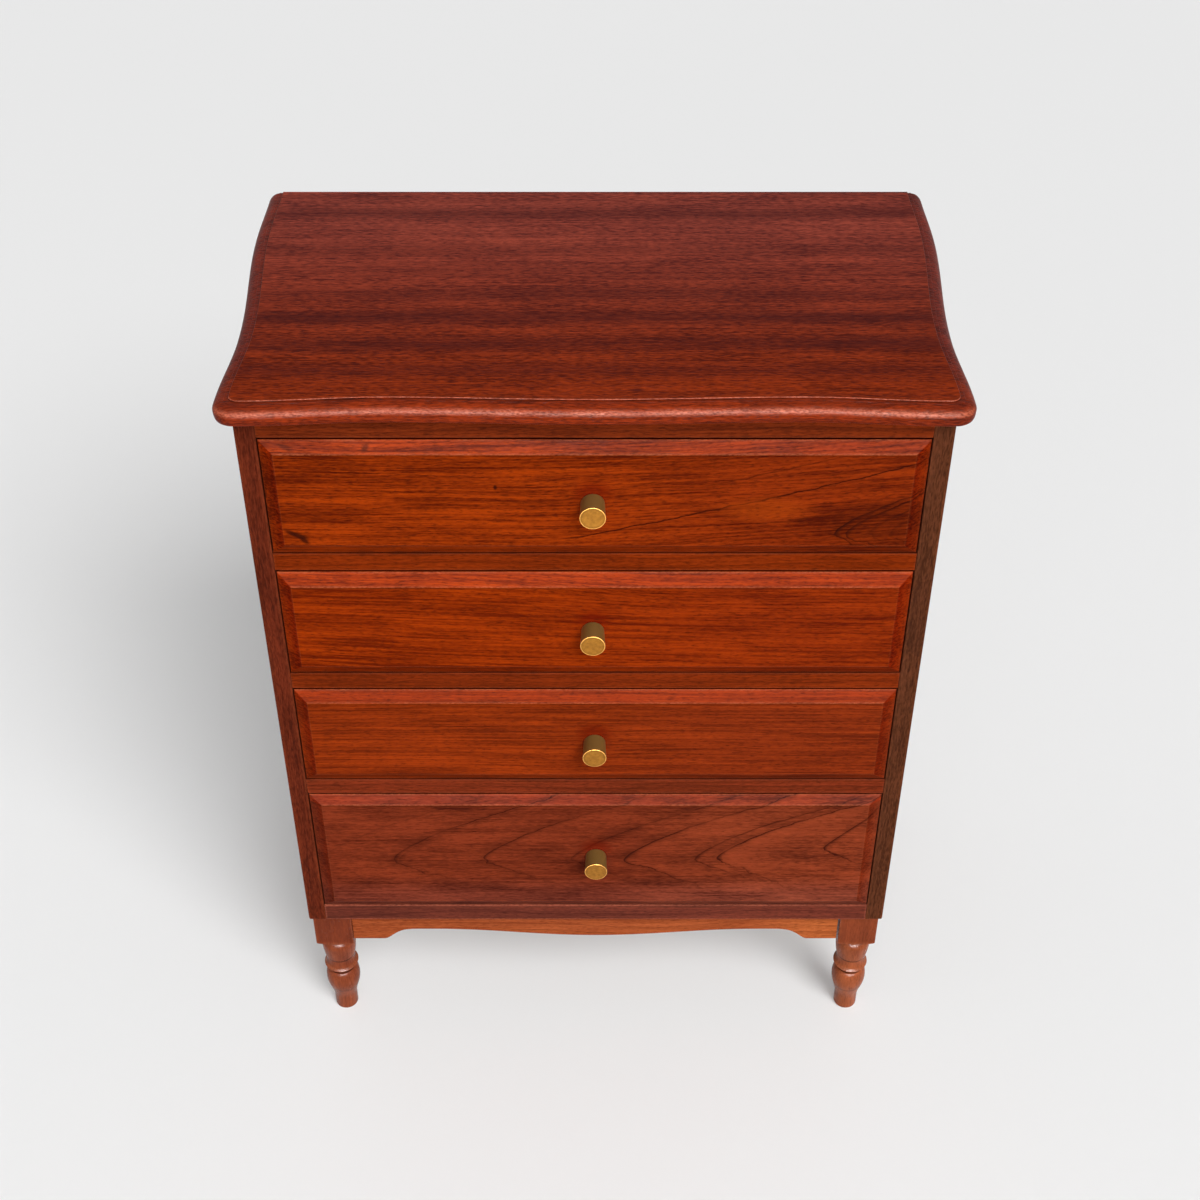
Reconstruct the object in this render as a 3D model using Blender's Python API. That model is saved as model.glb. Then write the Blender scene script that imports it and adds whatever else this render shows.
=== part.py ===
"""Tallboy: a chest of four drawers on turned legs, as the boards, rails and fittings it is joined from.

Metres, +Z up. The floor is Z = 0, the front faces -Y, and the origin is under the middle of the whole
object. Inside the case everything is measured from the front plane of the case, where the front edges of
the side panels and the front faces of the rails lie.
"""

import math

import bmesh
import bpy
from mathutils import Vector

# Fits and faceting
SEAT_GAP = 0.0003
CUT_MARGIN = 0.002
TURNING_SEGMENTS = 24
FITTING_SEGMENTS = 16
CURVE_STEPS = 6

# Case: the shallow openings are listed from the top down, and the deep one below them takes what is left
CASE_WIDTH = 0.750
CASE_DEPTH = 0.430
CASE_HEIGHT = 0.798
SIDE_THICKNESS = 0.022
SIDE_FOOT_CHAMFER = 0.004
RAIL_HEIGHT = 0.024
BASE_RAIL_HEIGHT = 0.028
RAIL_DEPTH = 0.060
TOP_RAIL_HEIGHT = 0.035
SHALLOW_OPENINGS = (0.1530, 0.1520, 0.1505)
TENON_LENGTH = 0.012
TENON_CHEEK = 0.010
TENON_SHOULDER = 0.004
BACK_THICKNESS = 0.005
BACK_LAP = 0.010
RUNNER_WIDTH = 0.020
RUNNER_HOUSING = 0.004

# Top slab: overhangs are measured from the case, at the places that shape its outline
SLAB_THICKNESS = 0.021
SLAB_BACK_OVERHANG = 0.010
FRONT_OVERHANG_CENTRE = 0.0295
FRONT_OVERHANG_HOLLOW = 0.0250
FRONT_OVERHANG_CORNER = 0.0325
FRONT_HOLLOW_FROM_SIDE = 0.160
SIDE_OVERHANG_CORNER = 0.0150
SIDE_OVERHANG_WAIST = 0.0080
SIDE_OVERHANG_SWELL = 0.0206
SIDE_OVERHANG_BACK = 0.0186
WAIST_FROM_FRONT = 0.115
SWELL_FROM_BACK = 0.095
STEP_CORNER_RADIUS = 0.006
QUIRK_WIDTH = 0.0046
QUIRK_DROP = 0.0015
THUMB_WIDTH = 0.0122
THUMB_DROP = 0.0095
UNDERCUT = 0.002

# Drawers: the bevel along the top of each front has its own width, listed from the top drawer down
DRAWER_SIDE_GAP = 0.001
FRONT_FOOT_GAP = 0.0008
FRONT_HEAD_GAP = 0.0015
FRONT_SET_BACK = 0.001
FRONT_EDGE_THICKNESS = 0.014
FIELD_RISE = 0.008
BEVEL_WIDTH = 0.015
HEAD_BEVEL_WIDTHS = (0.0140, 0.0160, 0.0150, 0.0115)
BOX_SIDE_THICKNESS = 0.012
BOX_BACK_THICKNESS = 0.012
BOX_BOTTOM_THICKNESS = 0.005
BOX_HEAD_GAP = 0.004
BOX_BACK_DROP = 0.006
BOX_BACK_INSET = 0.010
GROOVE_DEPTH = 0.005
GROOVE_RISE = 0.009
HOUSING_DEPTH = 0.004
TAIL_LENGTH = 0.009
TAIL_PITCH = 0.045
TAIL_WIDTH = 0.026
TAIL_SPLAY = 0.0015

# Knobs: each place is how far the knob sits to the right of, and below, the middle of its opening
KNOB_DIAMETER = 0.028
KNOB_SEAT_DIAMETER = 0.0255
KNOB_LENGTH = 0.027
KNOB_CHAMFER = 0.0015
KNOB_PLACES = ((-0.0020, 0.0030), (-0.0024, 0.0053), (-0.0008, 0.0055), (0.0006, 0.0018))
KNOB_SCREW_DIAMETER = 0.004
KNOB_SCREW_GRIP = 0.012
KNOB_SCREW_HEAD_DIAMETER = 0.009
KNOB_SCREW_HEAD_HEIGHT = 0.003

# Legs, from the floor up
FOOT_DIAMETER = 0.0306
FOOT_ROUND = 0.0015
FOOT_HEIGHT = 0.024
TAPER_HEIGHT = 0.038
VASE_DIAMETER = 0.0455
VASE_SHOULDER_HEIGHT = 0.015
NECK_DIAMETER = 0.038
NECK_HEIGHT = 0.003
RING_DIAMETER = 0.0438
RING_HEIGHT = 0.018
DRUM_DIAMETER = 0.045
DRUM_HEIGHT = 0.050
DRUM_FOOT_ROUND = 0.004
DRUM_HEAD_ROUND = 0.007
POMMEL_RISE = 0.007
POMMEL_MARGIN = 0.001
BLOCK_WIDTH = 0.050
BLOCK_HEIGHT = 0.063
LEG_SIDE_INSET = 0.0025
LEG_FRONT_INSET = 0.009
LEG_BACK_INSET = 0.009
LEG_SCREW_INSET = 0.010
LEG_SCREW_DIAMETER = 0.005
LEG_SCREW_LENGTH = 0.060
LEG_SCREW_HEAD_DIAMETER = 0.010
LEG_SCREW_HEAD_HEIGHT = 0.003
LEG_SCREW_SINK = 0.001

# Apron: the drops are the height of the board at its ends, under its arches and at its centre
APRON_THICKNESS = 0.018
APRON_SET_BACK = 0.004
APRON_DROP_ENDS = 0.0544
APRON_DROP_ARCH = 0.035
APRON_DROP_CENTRE = 0.0478
APRON_END_FLAT = 0.041
APRON_OGEE_LENGTH = 0.067
APRON_OGEE_LEAN = 3
APRON_TENON_LENGTH = 0.010
APRON_TENON_THICKNESS = 0.008
APRON_TENON_SHOULDER = 0.010

# Worked out from the sizes above
LOWER_RAILS = (RAIL_HEIGHT,) * len(SHALLOW_OPENINGS) + (BASE_RAIL_HEIGHT,)
DEEP_OPENING = CASE_HEIGHT - TOP_RAIL_HEIGHT - sum(LOWER_RAILS) - sum(SHALLOW_OPENINGS)
OPENINGS = (*SHALLOW_OPENINGS, DEEP_OPENING)
DRAWER_COUNT = len(OPENINGS)
CASE_HALF = CASE_WIDTH / 2
INNER_HALF = CASE_HALF - SIDE_THICKNESS
TURNED_HEIGHT = FOOT_HEIGHT + TAPER_HEIGHT + VASE_SHOULDER_HEIGHT + NECK_HEIGHT + RING_HEIGHT + DRUM_HEIGHT
LEG_HEIGHT = TURNED_HEIGHT + BLOCK_HEIGHT
CASE_TOP = LEG_HEIGHT + CASE_HEIGHT
BACK_PANEL_FRONT = CASE_DEPTH - BACK_THICKNESS
INSIDE_BACK = BACK_PANEL_FRONT - SEAT_GAP
REAR_RAIL_FRONT = INSIDE_BACK - RAIL_DEPTH
SLAB_BACK = CASE_DEPTH + SLAB_BACK_OVERHANG
FIELD_PLANE = FRONT_SET_BACK - FIELD_RISE
KNOB_SEAT = FIELD_PLANE - SEAT_GAP
DRAWER_HALF = INNER_HALF - DRAWER_SIDE_GAP
BOX_INNER_HALF = DRAWER_HALF - BOX_SIDE_THICKNESS
FRONT_BACK = FRONT_SET_BACK + FRONT_EDGE_THICKNESS
LEG_AXIS_X = CASE_HALF - LEG_SIDE_INSET - BLOCK_WIDTH / 2
FRONT_LEG_Y = LEG_FRONT_INSET + BLOCK_WIDTH / 2
BACK_LEG_Y = CASE_DEPTH - LEG_BACK_INSET - BLOCK_WIDTH / 2
BLOCK_INNER_X = LEG_AXIS_X - BLOCK_WIDTH / 2
APRON_FRONT = LEG_FRONT_INSET + APRON_SET_BACK
APRON_MIDDLE = APRON_FRONT + APRON_THICKNESS / 2
APRON_TOP = LEG_HEIGHT - SEAT_GAP
FRONT_REACH = max(KNOB_LENGTH - KNOB_SEAT, FRONT_OVERHANG_CENTRE, FRONT_OVERHANG_CORNER)
FRONT_PLANE_Y = (FRONT_REACH - SLAB_BACK) / 2

# Finishes: linear colour, roughness, metallic
FINISHES = {
    "top_mahogany": ((0.150, 0.034, 0.018), 0.34, 0.0),
    "case_mahogany": ((0.120, 0.032, 0.017), 0.40, 0.0),
    "front_mahogany": ((0.220, 0.056, 0.020), 0.38, 0.0),
    "apron_mahogany": ((0.320, 0.085, 0.024), 0.42, 0.0),
    "leg_mahogany": ((0.240, 0.060, 0.024), 0.36, 0.0),
    "drawer_timber": ((0.420, 0.240, 0.115), 0.62, 0.0),
    "back_board": ((0.300, 0.160, 0.075), 0.68, 0.0),
    "knob_brass": ((0.500, 0.270, 0.075), 0.32, 1.0),
    "screw_steel": ((0.420, 0.420, 0.430), 0.38, 1.0),
}


def clear_scene():
    """Removes whatever the scene held."""
    for item in list(bpy.data.objects):
        bpy.data.objects.remove(item, do_unlink=True)


def make_finishes():
    """Makes one Principled material for each finish and returns them by name."""
    made = {}
    for name, (colour, roughness, metallic) in FINISHES.items():
        material = bpy.data.materials.new(name)
        material.use_nodes = True
        shader = material.node_tree.nodes["Principled BSDF"]
        shader.inputs["Base Color"].default_value = (*colour, 1.0)
        shader.inputs["Roughness"].default_value = roughness
        shader.inputs["Metallic"].default_value = metallic
        made[name] = material
    return made


def make_empty(name, location, parent=None):
    """Adds an empty that other pieces are placed from."""
    empty = bpy.data.objects.new(name, None)
    empty.location = location
    empty.parent = parent
    bpy.context.scene.collection.objects.link(empty)
    return empty


def skin(ring_sets):
    """Makes a mesh of closed skins: each set is a run of rings that all have the same number of points."""
    shape = bmesh.new()
    for rings in ring_sets:
        loops = [[shape.verts.new(point) for point in ring] for ring in rings]
        for first, second in zip(loops, loops[1:]):
            for index in range(len(first)):
                following = (index + 1) % len(first)
                shape.faces.new((first[index], first[following], second[following], second[index]))
        shape.faces.new(list(reversed(loops[0])))
        shape.faces.new(loops[-1])
    bmesh.ops.recalc_face_normals(shape, faces=shape.faces)
    mesh = bpy.data.meshes.new("skin")
    shape.to_mesh(mesh)
    shape.free()
    return mesh


def add_piece(name, mesh, material, parent, location, rotation=(0.0, 0.0, 0.0)):
    """Adds one sub-part to the scene, placed from its parent."""
    mesh.name = name
    mesh.materials.append(material)
    piece = bpy.data.objects.new(name, mesh)
    piece.parent = parent
    piece.location = location
    piece.rotation_euler = rotation
    bpy.context.scene.collection.objects.link(piece)
    return piece


def rectangle(axis, along, low, high):
    """Four corners of a rectangle square to an axis; low and high hold the other two coordinates in order."""
    first, second = [index for index in range(3) if index != axis]
    ring = []
    for a, b in ((low[0], low[1]), (high[0], low[1]), (high[0], high[1]), (low[0], high[1])):
        point = Vector((0.0, 0.0, 0.0))
        point[axis] = along
        point[first] = a
        point[second] = b
        ring.append(point)
    return ring


def box_rings(low, high):
    """The two rings of a plain box between two corners."""
    return [rectangle(2, level, low[:2], high[:2]) for level in (low[2], high[2])]


def circle(radius, level, segments):
    """A ring of points about the Z axis."""
    turns = [2 * math.pi * index / segments for index in range(segments)]
    return [Vector((radius * math.cos(turn), radius * math.sin(turn), level)) for turn in turns]


def turning(profile, segments):
    """The rings of a turned shape, from (radius, level) pairs that run along its axis."""
    return [circle(radius, level, segments) for radius, level in profile]


def add_solid(name, rings, material, parent):
    """Adds a piece whose rings are given in its parent's frame, with its origin at its own middle."""
    points = [point for ring in rings for point in ring]
    low = Vector([min(point[axis] for point in points) for axis in range(3)])
    high = Vector([max(point[axis] for point in points) for axis in range(3)])
    middle = (low + high) / 2
    local = [[point - middle for point in ring] for ring in rings]
    return add_piece(name, skin([local]), material, parent, middle)


def add_board(name, low, high, material, parent):
    """Adds a plain rectangular board between two corners of its parent's frame."""
    return add_solid(name, box_rings(low, high), material, parent)


def add_turned(name, profile, material, parent, location, rotation=(0, 0, 0), segments=FITTING_SEGMENTS):
    """Adds a turned piece about its own Z axis, shaded smooth apart from its arrises."""
    mesh = skin([turning(profile, segments)])
    mesh.shade_smooth()
    mesh.set_sharp_from_angle(angle=math.radians(35))
    return add_piece(name, mesh, material, parent, location, rotation)


def combine(target, ring_sets, operation, location=(0.0, 0.0, 0.0), rotation=(0.0, 0.0, 0.0)):
    """Cuts, joins or trims a piece by shapes that are given in its parent's frame."""
    tool = bpy.data.objects.new(f"{target.name}_{operation.lower()}_{len(target.modifiers)}", skin(ring_sets))
    tool.parent = target.parent
    tool.location = location
    tool.rotation_euler = rotation
    tool.hide_render = True
    tool.display_type = "WIRE"
    bpy.context.scene.collection.objects.link(tool)
    modifier = target.modifiers.new(operation.title(), "BOOLEAN")
    modifier.operation = operation
    modifier.object = tool


def eased(start, end, share):
    """A half cosine wave from start to end, level at both."""
    return start + (end - start) * (1 - math.cos(math.pi * share)) / 2


def rail_floor(number):
    """Height of the underside of the rail that lies below drawer number, counted from 1 at the top."""
    return LEG_HEIGHT + sum(OPENINGS[number:]) + sum(LOWER_RAILS[number:])


def opening_floor(number):
    """Height of the bottom of drawer number's opening."""
    return rail_floor(number) + LOWER_RAILS[number - 1]


def slab_outline():
    """The slab's widest outline, from its back left corner round the front to its back right corner."""
    corner_radius = STEP_CORNER_RADIUS + QUIRK_WIDTH + THUMB_WIDTH
    corner_x = CASE_HALF + SIDE_OVERHANG_CORNER - corner_radius
    corner_y = corner_radius - FRONT_OVERHANG_CORNER
    hollow_x = CASE_HALF - FRONT_HOLLOW_FROM_SIDE
    swell_y = SLAB_BACK - SWELL_FROM_BACK
    front_runs = (
        (0.0, FRONT_OVERHANG_CENTRE, hollow_x, FRONT_OVERHANG_HOLLOW),
        (hollow_x, FRONT_OVERHANG_HOLLOW, corner_x, FRONT_OVERHANG_CORNER),
    )
    side_runs = (
        (corner_y, SIDE_OVERHANG_CORNER, WAIST_FROM_FRONT, SIDE_OVERHANG_WAIST),
        (WAIST_FROM_FRONT, SIDE_OVERHANG_WAIST, swell_y, SIDE_OVERHANG_SWELL),
        (swell_y, SIDE_OVERHANG_SWELL, SLAB_BACK, SIDE_OVERHANG_BACK),
    )
    half = []
    shares = [step / CURVE_STEPS for step in range(CURVE_STEPS)]
    for start, first, end, second in front_runs:
        half += [Vector((start + (end - start) * t, -eased(first, second, t))) for t in shares]
    for share in shares:
        turn = math.pi / 2 * share
        reach = corner_radius * math.sin(turn)
        half.append(Vector((corner_x + reach, corner_y - corner_radius * math.cos(turn))))
    for start, first, end, second in side_runs:
        half += [Vector((CASE_HALF + eased(first, second, t), start + (end - start) * t)) for t in shares]
    half.append(Vector((CASE_HALF + SIDE_OVERHANG_BACK, SLAB_BACK)))
    left = [Vector((-point.x, point.y)) for point in reversed(half[1:])]
    return left + half


def outline_normals(outline):
    """The outward direction at each point of the slab's outline; straight to the side at its back ends."""
    normals = [Vector((-1.0, 0.0))]
    for before, after in zip(outline, outline[2:]):
        along = (after - before).normalized()
        normals.append(Vector((along.y, -along.x)))
    normals.append(Vector((1.0, 0.0)))
    return normals


def slab_profile():
    """The moulded edge as (inset, height) pairs: a small quirk, a thumb round and a rounded underside."""
    step = THUMB_WIDTH + QUIRK_WIDTH
    quirk_level = SLAB_THICKNESS - QUIRK_DROP
    widest_level = quirk_level - THUMB_DROP
    profile = [(step, SLAB_THICKNESS), (step, quirk_level)]
    for index in range(CURVE_STEPS + 1):
        turn = math.pi / 2 * index / CURVE_STEPS
        profile.append((THUMB_WIDTH * (1 - math.sin(turn)), widest_level + THUMB_DROP * math.cos(turn)))
    for index in range(1, CURVE_STEPS // 2 + 1):
        turn = math.pi / 2 * index / (CURVE_STEPS // 2)
        profile.append((UNDERCUT * (1 - math.cos(turn)), widest_level * (1 - math.sin(turn))))
    return profile


def build_slab(finishes, case):
    """The top slab, with its moulding run round the front and both sides."""
    outline = slab_outline()
    normals = outline_normals(outline)
    floor = CASE_TOP + SEAT_GAP
    rings = []
    for inset, height in slab_profile():
        edge = [point - normal * inset for point, normal in zip(outline, normals)]
        rings.append([Vector((point.x, point.y, floor + height)) for point in edge])
    slab = add_solid("top_slab", rings, finishes["top_mahogany"], case)
    slab.data.shade_smooth()
    slab.data.set_sharp_from_angle(angle=math.radians(35))


def cross_rails():
    """Every rail that runs across the case, as (name, front, floor, height)."""
    top_floor = CASE_TOP - TOP_RAIL_HEIGHT
    rails = [
        ("top_rail", 0.0, top_floor, TOP_RAIL_HEIGHT),
        ("rear_top_rail", REAR_RAIL_FRONT, top_floor, TOP_RAIL_HEIGHT),
    ]
    for number in range(1, DRAWER_COUNT):
        rails.append((f"drawer_rail_{number}", 0.0, rail_floor(number), RAIL_HEIGHT))
    rails.append(("base_rail", 0.0, LEG_HEIGHT, BASE_RAIL_HEIGHT))
    rails.append(("rear_base_rail", REAR_RAIL_FRONT, LEG_HEIGHT, BASE_RAIL_HEIGHT))
    return rails


def tenon_section(front, floor, height, grown=0.0):
    """The low and high corners, in Y and Z, of the tenon at the ends of a rail."""
    low = (front + TENON_CHEEK - grown, floor + TENON_SHOULDER - grown)
    high = (front + RAIL_DEPTH - TENON_CHEEK + grown, floor + height - TENON_SHOULDER + grown)
    return low, high


def build_rails(finishes, case):
    """The seven cross rails, each with a stub tenon at both ends."""
    shoulder_x = INNER_HALF - SEAT_GAP
    tip_x = shoulder_x + TENON_LENGTH
    for name, front, floor, height in cross_rails():
        body = ((front, floor), (front + RAIL_DEPTH, floor + height))
        tenon = tenon_section(front, floor, height)
        stations = (
            (-tip_x, tenon),
            (-shoulder_x, tenon),
            (-shoulder_x, body),
            (shoulder_x, body),
            (shoulder_x, tenon),
            (tip_x, tenon),
        )
        rings = [rectangle(0, along, *section) for along, section in stations]
        add_solid(name, rings, finishes["case_mahogany"], case)


def bearers():
    """Every runner and kicker as (name, floor, height, back end), without its side."""
    found = []
    for number in range(1, DRAWER_COUNT + 1):
        back_end = REAR_RAIL_FRONT - SEAT_GAP if number == DRAWER_COUNT else INSIDE_BACK
        found.append((f"runner_{number}", rail_floor(number), LOWER_RAILS[number - 1], back_end))
    found.append(("kicker", CASE_TOP - TOP_RAIL_HEIGHT, TOP_RAIL_HEIGHT, REAR_RAIL_FRONT - SEAT_GAP))
    return found


def build_bearers(finishes, case):
    """The runners that the drawers slide on, and the kickers that keep the top drawer from tipping."""
    outer_x = INNER_HALF + RUNNER_HOUSING - SEAT_GAP
    inner_x = INNER_HALF - RUNNER_WIDTH
    front = RAIL_DEPTH + SEAT_GAP
    for name, floor, height, back_end in bearers():
        for side, sign in (("left", -1), ("right", 1)):
            low_x, high_x = sorted((sign * inner_x, sign * outer_x))
            low = Vector((low_x, front, floor))
            high = Vector((high_x, back_end, floor + height))
            add_board(f"{name}_{side}", low, high, finishes["drawer_timber"], case)


def build_sides(finishes, case):
    """The two side panels, cut for the back panel, the bearers and the rails' tenons."""
    inside_x = INNER_HALF - CUT_MARGIN
    for side, sign in (("left", -1), ("right", 1)):
        outline = (
            (INNER_HALF, LEG_HEIGHT),
            (CASE_HALF - SIDE_FOOT_CHAMFER, LEG_HEIGHT),
            (CASE_HALF, LEG_HEIGHT + SIDE_FOOT_CHAMFER),
            (CASE_HALF, CASE_TOP),
            (INNER_HALF, CASE_TOP),
        )
        rings = [[Vector((sign * x, along, z)) for x, z in outline] for along in (0.0, CASE_DEPTH)]
        panel = add_solid(f"{side}_side", rings, finishes["case_mahogany"], case)
        rebate = box_rings(
            (sign * inside_x, BACK_PANEL_FRONT - SEAT_GAP, LEG_HEIGHT - CUT_MARGIN),
            (sign * (INNER_HALF + BACK_LAP), CASE_DEPTH + CUT_MARGIN, CASE_TOP + CUT_MARGIN),
        )
        combine(panel, [rebate], "DIFFERENCE")
        housings = []
        for _, floor, height, back_end in bearers():
            low = (sign * inside_x, RAIL_DEPTH, floor - SEAT_GAP)
            high = (sign * (INNER_HALF + RUNNER_HOUSING), back_end + SEAT_GAP, floor + height + SEAT_GAP)
            housings.append(box_rings(low, high))
        combine(panel, housings, "DIFFERENCE")
        mortises = []
        for _, front, floor, height in cross_rails():
            section = tenon_section(front, floor, height, grown=SEAT_GAP)
            ends = (sign * inside_x, sign * (INNER_HALF + TENON_LENGTH))
            mortises.append([rectangle(0, along, *section) for along in ends])
        combine(panel, mortises, "DIFFERENCE")


def build_back(finishes, case):
    """The back panel, lapped into the side panels."""
    half = INNER_HALF + BACK_LAP - SEAT_GAP
    low = Vector((-half, BACK_PANEL_FRONT, LEG_HEIGHT))
    high = Vector((half, CASE_DEPTH, CASE_TOP))
    add_board("back_panel", low, high, finishes["back_board"], case)


def leg_profile():
    """The turned outline of a leg, from the floor up to past its block's corners, as (radius, level) pairs."""
    foot, vase = FOOT_DIAMETER / 2, VASE_DIAMETER / 2
    neck, ring, drum = NECK_DIAMETER / 2, RING_DIAMETER / 2, DRUM_DIAMETER / 2
    corner = BLOCK_WIDTH / math.sqrt(2) + POMMEL_MARGIN
    shares = [step / CURVE_STEPS for step in range(1, CURVE_STEPS + 1)]
    profile = [(foot - FOOT_ROUND, 0.0), (foot, FOOT_ROUND), (foot, FOOT_HEIGHT)]
    level = FOOT_HEIGHT
    profile += [(eased(foot, vase, share), level + TAPER_HEIGHT * share) for share in shares]
    level += TAPER_HEIGHT
    for share in shares:
        turn = math.pi / 2 * share
        profile.append((neck + (vase - neck) * math.cos(turn), level + VASE_SHOULDER_HEIGHT * math.sin(turn)))
    level += VASE_SHOULDER_HEIGHT
    for share in [0.0] + shares:
        turn = math.pi * share
        height = NECK_HEIGHT + RING_HEIGHT * (1 - math.cos(turn)) / 2
        profile.append((neck + (ring - neck) * math.sin(turn), level + height))
    level += NECK_HEIGHT + RING_HEIGHT
    profile.append((drum, level + DRUM_FOOT_ROUND))
    level += DRUM_HEIGHT
    for share in [0.0] + shares:
        turn = math.pi / 2 * share
        fall = DRUM_HEAD_ROUND * (1 - math.sin(turn))
        profile.append((neck + (drum - neck) * math.cos(turn), level - fall))
    for share in shares:
        turn = math.pi / 2 * share
        profile.append((neck + (corner - neck) * math.sin(turn), level + POMMEL_RISE * (1 - math.cos(turn))))
    profile.append((corner, LEG_HEIGHT - SEAT_GAP))
    return profile


def leg_screw_profile(grown=0.0):
    """A countersunk wood screw about its axis, from its tip up to its head, as (radius, level) pairs."""
    shank = LEG_SCREW_DIAMETER / 2 + grown
    head = LEG_SCREW_HEAD_DIAMETER / 2 + grown
    neck_level = LEG_SCREW_LENGTH - LEG_SCREW_HEAD_HEIGHT
    point = LEG_SCREW_DIAMETER
    profile = [(shank / 2, -grown), (shank, point), (shank, neck_level), (head, LEG_SCREW_LENGTH)]
    if grown:
        profile.append((head, LEG_SCREW_LENGTH + LEG_SCREW_SINK + CUT_MARGIN))
    return profile


def apron_tenon(sign, grown=0.0):
    """The box of the apron's tenon on one side; it starts inside the apron so that the two join."""
    half = APRON_TENON_THICKNESS / 2 + grown
    root = BLOCK_INNER_X - SEAT_GAP - APRON_TENON_SHOULDER
    tip = BLOCK_INNER_X - SEAT_GAP + APRON_TENON_LENGTH + grown
    floor = APRON_TOP - APRON_DROP_ENDS + APRON_TENON_SHOULDER - grown
    top = APRON_TOP - APRON_TENON_SHOULDER + grown
    return box_rings((sign * root, APRON_MIDDLE - half, floor), (sign * tip, APRON_MIDDLE + half, top))


def build_legs(finishes, case):
    """The four legs, turned from square blanks, and the screws that hold them under the base rails."""
    half = BLOCK_WIDTH / 2
    screw_tip = LEG_HEIGHT + BASE_RAIL_HEIGHT - LEG_SCREW_SINK - LEG_SCREW_LENGTH
    rails = {"front": bpy.data.objects["base_rail"], "rear": bpy.data.objects["rear_base_rail"]}
    for row, axis_y in (("front", FRONT_LEG_Y), ("rear", BACK_LEG_Y)):
        for side, sign in (("left", -1), ("right", 1)):
            axis_x = sign * LEG_AXIS_X
            leg = add_turned(
                f"{row}_{side}_leg",
                leg_profile(),
                finishes["leg_mahogany"],
                case,
                (axis_x, axis_y, 0.0),
                segments=TURNING_SEGMENTS,
            )
            blank = box_rings(
                (axis_x - half, axis_y - half, -CUT_MARGIN),
                (axis_x + half, axis_y + half, LEG_HEIGHT + CUT_MARGIN),
            )
            combine(leg, [blank], "INTERSECT")
            if row == "front":
                combine(leg, [apron_tenon(sign, grown=SEAT_GAP)], "DIFFERENCE")
            place = (axis_x - sign * LEG_SCREW_INSET, axis_y, screw_tip)
            hole = [turning(leg_screw_profile(grown=SEAT_GAP), FITTING_SEGMENTS)]
            combine(leg, hole, "DIFFERENCE", location=place)
            combine(rails[row], hole, "DIFFERENCE", location=place)
            add_turned(f"{row}_{side}_leg_screw", leg_screw_profile(), finishes["screw_steel"], case, place)


def apron_drop(from_block):
    """Height of the apron at a distance in from the leg block: a flat end, a leaning ogee and a long bow."""
    bow_start = APRON_END_FLAT + APRON_OGEE_LENGTH
    if from_block <= APRON_END_FLAT:
        return APRON_DROP_ENDS
    if from_block <= bow_start:
        left_over = (bow_start - from_block) / APRON_OGEE_LENGTH
        return eased(APRON_DROP_ENDS, APRON_DROP_ARCH, 1 - left_over**APRON_OGEE_LEAN)
    share = (from_block - bow_start) / (BLOCK_INNER_X - SEAT_GAP - bow_start)
    return eased(APRON_DROP_ARCH, APRON_DROP_CENTRE, share)


def build_apron(finishes, case):
    """The shaped apron, tenoned into the front legs."""
    end_x = BLOCK_INNER_X - SEAT_GAP
    bow_start = APRON_END_FLAT + APRON_OGEE_LENGTH
    ogee_steps = 2 * CURVE_STEPS
    insets = [0.0]
    insets += [bow_start - APRON_OGEE_LENGTH * (1 - step / ogee_steps) for step in range(ogee_steps)]
    insets += [bow_start + (end_x - bow_start) * step / CURVE_STEPS for step in range(CURVE_STEPS)]
    left = [(inset - end_x, APRON_TOP - apron_drop(inset)) for inset in insets]
    right = [(-x, z) for x, z in reversed(left)]
    lower = left + [(0.0, APRON_TOP - apron_drop(end_x))] + right
    outline = lower + [(end_x, APRON_TOP), (-end_x, APRON_TOP)]
    faces = (APRON_FRONT, APRON_FRONT + APRON_THICKNESS)
    rings = [[Vector((x, along, z)) for x, z in outline] for along in faces]
    apron = add_solid("apron", rings, finishes["apron_mahogany"], case)
    combine(apron, [apron_tenon(-1), apron_tenon(1)], "UNION")


def tail_middles(side_height):
    """Heights of the middles of the dovetails along a drawer side, evenly spaced."""
    count = max(2, int(side_height / TAIL_PITCH))
    return [side_height * (index + 0.5) / count for index in range(count)]


def tail_outline(middle, root, tip, grown=0.0):
    """One dovetail in Y and Z, from its narrow root to its wide tip, going up."""
    narrow = TAIL_WIDTH / 2 + grown
    wide = narrow + TAIL_SPLAY
    return [(root, middle - narrow), (tip, middle - wide), (tip, middle + wide), (root, middle + narrow)]


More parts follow.
